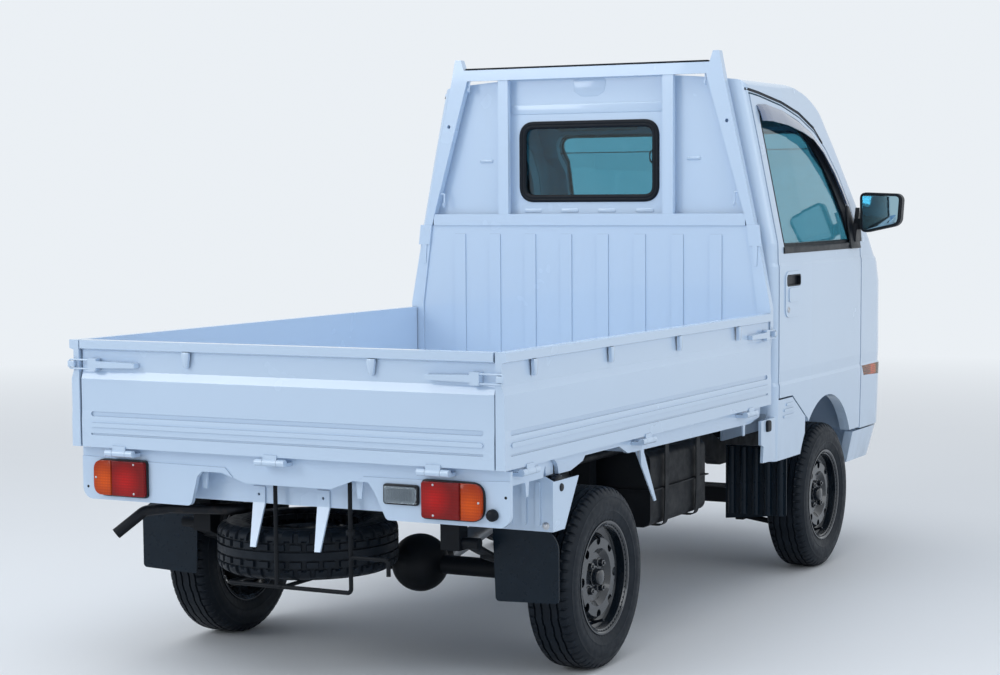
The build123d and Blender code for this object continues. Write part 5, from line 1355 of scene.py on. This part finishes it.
def inflate(obj, cap):
    """Blow the cushion up as cloth over a few frames, no point moving more than cap metres."""
    before = [v.co.copy() for v in obj.data.vertices]
    cloth = obj.modifiers.new("cloth", "CLOTH")
    cloth.settings.use_pressure = True
    cloth.settings.uniform_pressure_force = 4.0
    cloth.settings.quality = 4
    cloth.settings.effector_weights.gravity = 0.0
    scene = bpy.context.scene
    for step in range(1, CLOTH_FRAMES + 1):
        scene.frame_set(step)
    graph = bpy.context.evaluated_depsgraph_get()
    after = [v.co.copy() for v in obj.evaluated_get(graph).data.vertices]
    obj.modifiers.remove(cloth)
    scene.frame_set(1)
    for v, old, new in zip(obj.data.vertices, before, after):
        move = new - old
        if move.length > cap:
            move = move.normalized() * cap
        v.co = old + move


def sewn(obj, axis, places, depth, width):
    """Press sewn channels into the upper and front faces."""
    for v in obj.data.vertices:
        for place in places:
            gap = abs(v.co[axis] - place)
            if gap < width * 2:
                v.co -= v.normal * depth * math.exp(-(gap / width) ** 2)


CUSHION = ((118, -955, 650), (602, -476, 758))
BACKREST = ((122, -50, 0), (598, 34, 415))
BACK_FOOT = (0, -448, 772)
BACK_TILT = math.atan2(60, 425)
CUSHION_SEAMS = (-0.86, -0.76, -0.66, -0.56)
BACK_SEAMS = (0.86, 0.94, 1.02, 1.10)
SOFT_R = 34.0
SWELL = 0.009
SEAM_SIZE = (0.005, 0.006)  # depth and width of a sewn channel, in metres
SEAT_TOP_Z = 700
PIPING_UP = 76
SEAT_FLOOR_Z = 641


def make_seats():
    """Two seats, each a cushion and a backrest with sewn channels and piping."""
    low, high = CUSHION
    rim = rounded(rectangle(low[0] + 3, high[0] - 3, low[1] + 3, high[1] - 3), SOFT_R)
    line = [(x, y, low[2] + PIPING_UP) for x, y in rim]
    piping = sweep(line, [(0, 0, 1)] * len(line), ring(4.0, 8), closed=True)
    base = pad(low[0] + 10, high[0] - 10, low[1] + 8, high[1] - 10, 18.0, 13.0, 3.0)
    base = moved(base, 0, 0, SEAT_FLOOR_Z)
    for name, side in SIDES:
        bm = cushion_shape(*CUSHION, SOFT_R)
        for v in bm.verts:
            share_x = (v.co.x - low[0]) / (high[0] - low[0]) * 2 - 1
            if v.co.z > SEAT_TOP_Z:
                v.co.z -= 10 * (1 - share_x ** 2) * 0.6 - 6
        seat = soft_piece("seat_cushion_" + name, bm, side, Matrix.Identity(4))
        sewn(seat, 1, CUSHION_SEAMS, *SEAM_SIZE)
        tilt = Matrix.Translation(BACK_FOOT) @ Matrix.Rotation(-BACK_TILT, 4, "X")
        back = soft_piece("seat_back_" + name, cushion_shape(*BACKREST, SOFT_R), side, tilt)
        sewn(back, 2, BACK_SEAMS, *SEAM_SIZE)
        if side > 0:
            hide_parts("seats")
        piece("seat_piping_" + name, mirrored(piping, side), "root", VINYL, 60)
        piece("seat_base_" + name, mirrored(base, side), "root", BLACK)


def soft_piece(name, bm, side, place):
    """Padded piece from a bmesh in millimetres."""
    for v in bm.verts:
        v.co = place @ v.co
    obj = piece(name, mirrored(from_bmesh(bm), side), "root", CLOTH, 80, "seat_grey")
    inflate(obj, SWELL)
    obj.data.shade_smooth()
    return obj


CARD = ((-402, 655), (-1130, 655), (-1205, 720), (-1218, 800), (-1218, 1096), (-402, 1096))
CARD_SHEET = 5.3
CARD_PANEL = ((-450, 830), (-1120, 830), (-1120, 1010), (-450, 1040))
ARMREST = ((-560, 842), (-900, 842), (-900, 876), (-860, 892), (-600, 892), (-560, 876))
WINDER = (-1000.0, 960.0)
PULL_HANDLE = (-1070.0, 1050.0)
SPEAKER = (-1090.0, 720.0)
SPEAKER_R = 58
SPEAKER_RIM = ((58, 0), (66, 0), (66, 3), (62, 4.5), (58, 3), (58, 0))
SPEAKER_BARS = 9
WINDER_BOSS = ((0, 0), (16, 0), (15, 8), (11, 11), (0, 12))
WINDER_KNOB = ((0, 0), (7, 0), (9, 12), (8, 20), (4, 23), (0, 23))
WINDER_TURN = -0.9
WINDER_REACH = 84


def make_door_cards():
    """Inner panels of the doors: card, cloth field, armrest, window winder, latch pull and speaker grille."""
    inner = face_near("door_left", -800, 850, 0, 1)

    def laid(shape, lift=0.0):
        points, faces = shape
        return [Vector((inner(p[0], p[1]) - lift - p[2], p[0], p[1])) for p in points], faces

    card = laid(plate(rounded(CARD, 24.0), CARD_SHEET, 1.5), -0.5)
    field = laid(plate(rounded(CARD_PANEL, 20.0), 2.5, 1.5), CARD_SHEET - 0.8)
    rest = laid(plate(rounded(ARMREST, 10.0), 26.0, 9.0, 4), CARD_SHEET - 1.5)
    boss = moved(turned(WINDER_BOSS, 24), *WINDER, 0)
    turn = Matrix.Translation((*WINDER, 9)) @ Matrix.Rotation(WINDER_TURN, 4, "Z")
    arm = placed(pad(-7, 92, -7, 7, 6.5, 6.0, 2.5, 2), turn)
    knob_y = WINDER[0] + WINDER_REACH * math.cos(WINDER_TURN)
    knob_z = WINDER[1] + WINDER_REACH * math.sin(WINDER_TURN)
    winder = laid(join(boss, arm, moved(turned(WINDER_KNOB, 20), knob_y, knob_z, 14)), CARD_SHEET - 1)
    cup = moved(slab(48, 20, 12.0, 5.0, 2.0, 2), *PULL_HANDLE, 0)
    lever = moved(pad(-36, 30, -9, 9, 7.0, 6.0, 2.5, 2), *PULL_HANDLE, 4)
    grille = [turned(SPEAKER_RIM, 40)]
    for i in range(SPEAKER_BARS):
        z = -48 + 12 * i
        half = math.sqrt(SPEAKER_R ** 2 - z ** 2)
        grille.append(pad(-half, half, z - 2.2, z + 2.2, 2.0, 3.0, 1.0, 1))
    fittings = laid(join(cup, lever, moved(join(*grille), *SPEAKER, 0)), CARD_SHEET - 1)
    pairs(
        ("door_card", card, "door_{}", DASH, 40, "dash_grey"),
        ("card_field", field, "door_{}", CLOTH, 40, "seat_grey"),
        ("armrest", rest, "door_{}", VINYL),
        ("winder", winder, "door_{}", BLACK),
        ("card_fittings", fittings, "door_{}", BLACK),
    )


DIALS = (-392.0, -262.0)
VENTS = (-520.0, -95.0, 95.0, 520.0)
VENT_Z = 985
DIAL_Z = 1065
DIAL_RING = ((20, 0), (24, 0), (24, 3), (22, 4), (20, 2.5), (20, 0))
DIAL_MARKS = 9
RADIO_Z = 905
RADIO_KNOBS = (-62, 0, 62)
RADIO_KNOB = ((0, 3), (13, 3), (12, 14), (10, 16), (0, 16))
GLOVE_BOX_X = 330
COLUMN = ((-325, -1120, 1020), (-325, -1430, 600))
STALK_LINE = ((35, 4, 16), (120, 14, 10), (160, 20, 0))
MAT_X = (150.0, 540.0)


def make_dash():
    """Gauges under the hood, vents, radio blank, glove box, column shroud and stalks."""
    face = from_rear("dashboard", -325, DIAL_Z, 0)[0].y
    panel = pad(-455, -195, 1038, 1092, 12.0, 2.0, 0.8)
    piece("gauge_panel", on_rear(panel, face - 0.5), "root", *TRIM)
    dials, marks = [], []
    mark = box((-0.5, 14.5, 0.2), (0.5, 18, 0.7), 0)
    needle = box((-0.7, -3, 0.6), (0.7, 15, 1.4), 0)
    for x in DIALS:
        place = facing((x, face + 1.2, DIAL_Z), (0, 1, 0))
        dials.append(placed(turned(DIAL_RING, 40), place))
        for i in range(DIAL_MARKS):
            marks.append(placed(mark, place @ Matrix.Rotation(math.radians(-120 + 30 * i), 4, "Z")))
        marks.append(placed(needle, place @ Matrix.Rotation(math.radians(95), 4, "Z")))
    piece("gauge_rings", join(*dials), "root", GREY)
    piece("gauge_marks", join(*marks), "root", LINER)
    frame_outer = rounded(rectangle(-52, 52, -24, 24), 8.0)
    frame_inner = rounded(rectangle(-47, 47, -19, 19), 5.0)
    slats = [box((-46, -15 + 10 * i, 1), (46, -12 + 10 * i, 6), 0.8, 1) for i in range(4)]
    vent = join(tray(frame_outer, frame_inner, -4.0, 6.0), *slats)
    vents = [placed(vent, on_dash(x, VENT_Z, 1.5)) for x in VENTS]
    piece("dash_vents", join(*vents), "root", *TRIM)
    place = on_dash(0, RADIO_Z, 1.0)
    radio = [placed(slab(90, 27, 5.0, 4.0, 1.5), place)]
    for x in RADIO_KNOBS:
        radio.append(placed(turned(RADIO_KNOB, 24), place @ Matrix.Translation((x, 0, 0))))
    piece("dash_controls", join(*radio), "root", *TRIM)
    place = on_dash(GLOVE_BOX_X, RADIO_Z, 1.0)
    piece("glove_box", placed(slab(165, 34, 9.0, 3.5, 1.8, 2), place), "root", DASH, 40, "dash_grey")
    piece("glove_catch", placed(pad(-22, 22, 16, 28, 4.0, 7.0, 2.0, 2), place), "root", BLACK)
    top, foot = Vector(COLUMN[0]), Vector(COLUMN[1])
    axis = (top - foot).normalized()
    place = facing(top - axis * 50, -axis, (0, 1, 0))
    shroud = placed(slab(40, 34, 16.0, 150.0, 8.0, 3), place)
    stalks = [bar([place @ Vector((side * x, y, z)) for x, y, z in STALK_LINE], 4.5, 20, 10)
              for side in (-1, 1)]
    piece("column_shroud", shroud, "root", *TRIM)
    piece("column_stalks", join(*stalks), "root", BLACK, 50, "trim_black")


def on_dash(x, z, sunk):
    """Place on the dashboard's rear face, its XY plane sunk by that much."""
    point, normal = from_rear("dashboard", x, z, 0)
    return facing(point - normal * sunk, normal)


MAT_Y = (-1500, -1225)
MAT_RIBS = 12
PEDALS = ((-430, 32), (-250, 32), (-165, 22))
PEDAL_PLACE = (-1388.5, 560)
BOOT_FOLDS = 5
GEAR_LINE = ((-30, -1150, 650), (-30, -1150, 720), (-52, -1100, 858))
BRAKE_LINE = ((25, -806, 645), (25, -840, 672), (25, -950, 697.5))
BRAKE_GRIP = ((0, -1), (14, 0), (15.5, 8), (14.5, 50), (15.5, 90), (13, 104), (7, 110), (0, 111))
KNOB_R = 23.2
KNOB_STEPS = 14


def make_floor_details():
    """Ribbed mats, pedal pads, boots of the levers, grip of the hand brake."""
    ribs = [pad(*MAT_X, *MAT_Y, 20.0, 4.0, 1.5)]
    for i in range(MAT_RIBS):
        x = MAT_X[0] + 30 + 30 * i
        ribs.append(box((x, MAT_Y[0] + 20, 3.5), (x + 12, MAT_Y[1] - 20, 6.0), 1.0, 1))
    for name, side in SIDES:
        floor = on_node("cab_floor", (side * 350, -1350, 560), (0, 0, -1))[0].z
        piece("floor_mat_" + name, mirrored(moved(join(*ribs), 0, 0, floor), side), "root", MAT)
    pads = []
    for x, half in PEDALS:
        place = facing((x, *PEDAL_PLACE), (0, 1, 0))
        pads.append(placed(slab(half + 2, 31, 6.0, 5.0, 2.0), place))
        for i in range(5):
            pads.append(placed(box((-half + 3, -23 + 11 * i, 4), (half - 3, -19 + 11 * i, 7), 1.0, 1), place))
    piece("pedal_pads", join(*pads), "root", RUBBER)
    folds = [(46, 0), (46, 4)]
    for i in range(BOOT_FOLDS):
        folds += [(40 - 5 * i, 8 + 9 * i), (36 - 5 * i, 14 + 9 * i)]
    folds += [(11, 54), (9, 60)]
    boot = moved(turned([(0, 0)] + folds + [(0, 60)], 32), *GEAR_LINE[0][:2], SEAT_FLOOR_Z)
    second = moved(turned([(0, 0)] + scaled(folds, 0.8, 0.5) + [(0, 30)], 32), 25, -815, SEAT_FLOOR_Z)
    piece("lever_boots", join(boot, second), "root", RUBBER)
    piece("lever_rods", join(bar(GEAR_LINE, 8.0, 30, 14), bar(BRAKE_LINE, 11.0, 20, 14)), "root", BLACK, 50,
          "trim_black")
    turns = [math.pi * k / KNOB_STEPS for k in range(KNOB_STEPS + 1)]
    knob = turned([(KNOB_R * math.sin(turn), -KNOB_R * math.cos(turn)) for turn in turns], 28)
    piece("gear_knob", moved(knob, -52, -1100, 872), "root", BLACK, 60, "trim_black")
    grip = placed(turned(BRAKE_GRIP, 24), facing((25, -925, 691.5), (0, -1, 0.23)))
    piece("brake_grip", grip, "root", BLACK, 50, "trim_black")


def make_roof_details():
    """Inner mirror, two sun visors and the roof lamp."""
    foot = from_rear("cab_glass", 0, 1525, -700)[0] + Vector((0, 6, 0))
    stalk = bar([foot, foot + Vector((0, 30, -6)), foot + Vector((0, 48, -26))], 5.0, 12, 10)
    head = placed(slab(105, 28, 22.0, 14.0, 6.0, 4), facing(foot + Vector((0, 46, -38)), (0, -1, 0.1)))
    piece("inner_mirror", join(stalk, head), "root", BLACK)
    shine = placed(slab(99, 23, 19.0, 1.2, 0.5), facing(foot + Vector((0, 45.5, -38)), (0, 1, -0.1)))
    piece("inner_mirror_glass", shine, "root", MIRROR_SHINE)
    roof = on_node("cab_roof", (290, -1010, 1300), (0, 0, 1))[0]
    place = facing(roof + Vector((0, 20, -8)), (0, 0.18, -1), (0, 1, 0))
    pairs(("sun_visor", placed(slab(165, 70, 16.0, 16.0, 7.0, 4), place), "root", VINYL, 50))
    roof = on_node("cab_roof", (0, -760, 1300), (0, 0, 1))[0]
    place = facing(roof + Vector((0, 0, 1)), (0, 0, -1), (0, 1, 0))
    piece("roof_lamp", placed(slab(55, 30, 10.0, 16.0, 6.0, 3), place), "root", LINER, 50)


# Studio

CAMERA_PLACE = Vector((-3.1965, 6.4547, 1.3408))
CAMERA_YAW = math.radians(27.578)
CAMERA_PITCH = math.radians(-5.145)
CAMERA_ROLL = math.radians(-0.39)
CAMERA_LENS = 77.29
CAMERA_SHIFT = 0.0521
FLOOR_HALF = 30.0
FLOOR_FADE = (3.0, 11.0)
FLOOR_TONE = (0.80, 0.83, 0.86)
SKY_TONE = (0.83, 0.87, 0.91)


def linked(name, data):
    """Object in the scene's collection."""
    obj = bpy.data.objects.new(name, data)
    bpy.context.scene.collection.objects.link(obj)
    return obj


def make_camera():
    camera = bpy.data.cameras.new("camera")
    camera.lens = CAMERA_LENS
    camera.sensor_width = 36.0
    camera.shift_y = CAMERA_SHIFT
    obj = linked("camera", camera)
    ahead = Vector((math.sin(CAMERA_YAW) * math.cos(CAMERA_PITCH),
                    -math.cos(CAMERA_YAW) * math.cos(CAMERA_PITCH),
                    math.sin(CAMERA_PITCH)))
    right = ahead.cross(Vector((0, 0, 1))).normalized()
    up = right.cross(ahead)
    turned_right = right * math.cos(CAMERA_ROLL) + up * math.sin(CAMERA_ROLL)
    turned_up = up * math.cos(CAMERA_ROLL) - right * math.sin(CAMERA_ROLL)
    axes = Matrix((turned_right, turned_up, -ahead)).transposed().to_4x4()
    obj.matrix_world = Matrix.Translation(CAMERA_PLACE) @ axes
    bpy.context.scene.camera = obj


def make_floor():
    """Pale floor that fades into the backdrop's tone far out, for the rays that see it."""
    mesh = bpy.data.meshes.new("floor")
    h = FLOOR_HALF
    mesh.from_pydata([(-h, -h, 0), (h, -h, 0), (h, h, 0), (-h, h, 0)], [], [(0, 1, 2, 3)])
    floor = linked("floor", mesh)
    g = Graph("floor_pale")
    tone = g.mix(g.noise(0.6, 4.0), FLOOR_TONE, tuple(c * 0.97 for c in FLOOR_TONE))
    g.set(Base_Color=tone, Roughness=0.7)
    away = g.add("ShaderNodeVectorMath", {0: g.place}, operation="LENGTH").outputs["Value"]
    share = g.math("MULTIPLY", g.remap(away, *FLOOR_FADE), g.backdrop_rays())
    sky = g.add("ShaderNodeEmission", {"Color": SKY_TONE, "Strength": 1.0})
    blend = g.add("ShaderNodeMixShader", {0: share, 1: g.shader.outputs[0], 2: sky.outputs[0]})
    g.fill(g.tree.nodes["Material Output"].inputs[0], blend.outputs[0])
    mesh.materials.append(g.material)


def area_light(name, place, target, size, energy, colour):
    light = bpy.data.lights.new(name, "AREA")
    light.shape = "RECTANGLE"
    light.size, light.size_y = size
    light.energy = energy
    light.color = colour
    obj = linked(name, light)
    obj.location = place
    obj.rotation_euler = (Vector(target) - Vector(place)).to_track_quat("-Z", "Y").to_euler()


WORLD_TONE = (0.90, 0.94, 1.0)
WORLD_STRENGTH = 0.62
LAMPS = (
    ("overhead", (0.5, 1.0, 5.5), (0, 0, 0.6), (7.0, 5.0), 135, (1.0, 1.0, 1.0)),
    ("key", (4.0, 6.5, 3.6), (0, 0, 0.8), (3.0, 3.0), 115, (0.95, 0.98, 1.0)),
    ("fill", (-6.5, 1.5, 2.6), (0, 0, 0.8), (4.0, 2.5), 60, (0.92, 0.96, 1.0)),
)


def make_light():
    """Three soft lamps, and a world whose light is weaker than the tone that the camera sees."""
    world = bpy.data.worlds.new("studio")
    bpy.context.scene.world = world
    world.use_nodes = True
    world.node_tree.nodes.clear()
    nodes = Nodes(world.node_tree)
    lighting = nodes.add("ShaderNodeBackground", {0: WORLD_TONE, 1: WORLD_STRENGTH})
    seen = nodes.add("ShaderNodeBackground", {0: SKY_TONE, 1: 1.0})
    shaders = {0: nodes.backdrop_rays(), 1: lighting.outputs[0], 2: seen.outputs[0]}
    nodes.add("ShaderNodeOutputWorld", {0: nodes.add("ShaderNodeMixShader", shaders).outputs[0]})
    for lamp in LAMPS:
        area_light(*lamp)


finish_nodes()
make_wheels()
make_spare()
make_door_trim()
make_back_gasket()
make_screen_gasket()
make_tail_lamps()
make_guard_strip()
make_fingers()
make_keepers()
make_back_pressings()
make_sill_details()
make_under_details()
make_drip_shade_strips()
make_mirrors()
make_wipers()
make_front()
make_front_backs()
make_seats()
make_door_cards()
make_dash()
make_floor_details()
make_roof_details()
make_camera()
make_floor()
make_light()
bpy.context.scene.view_settings.view_transform = "Standard"
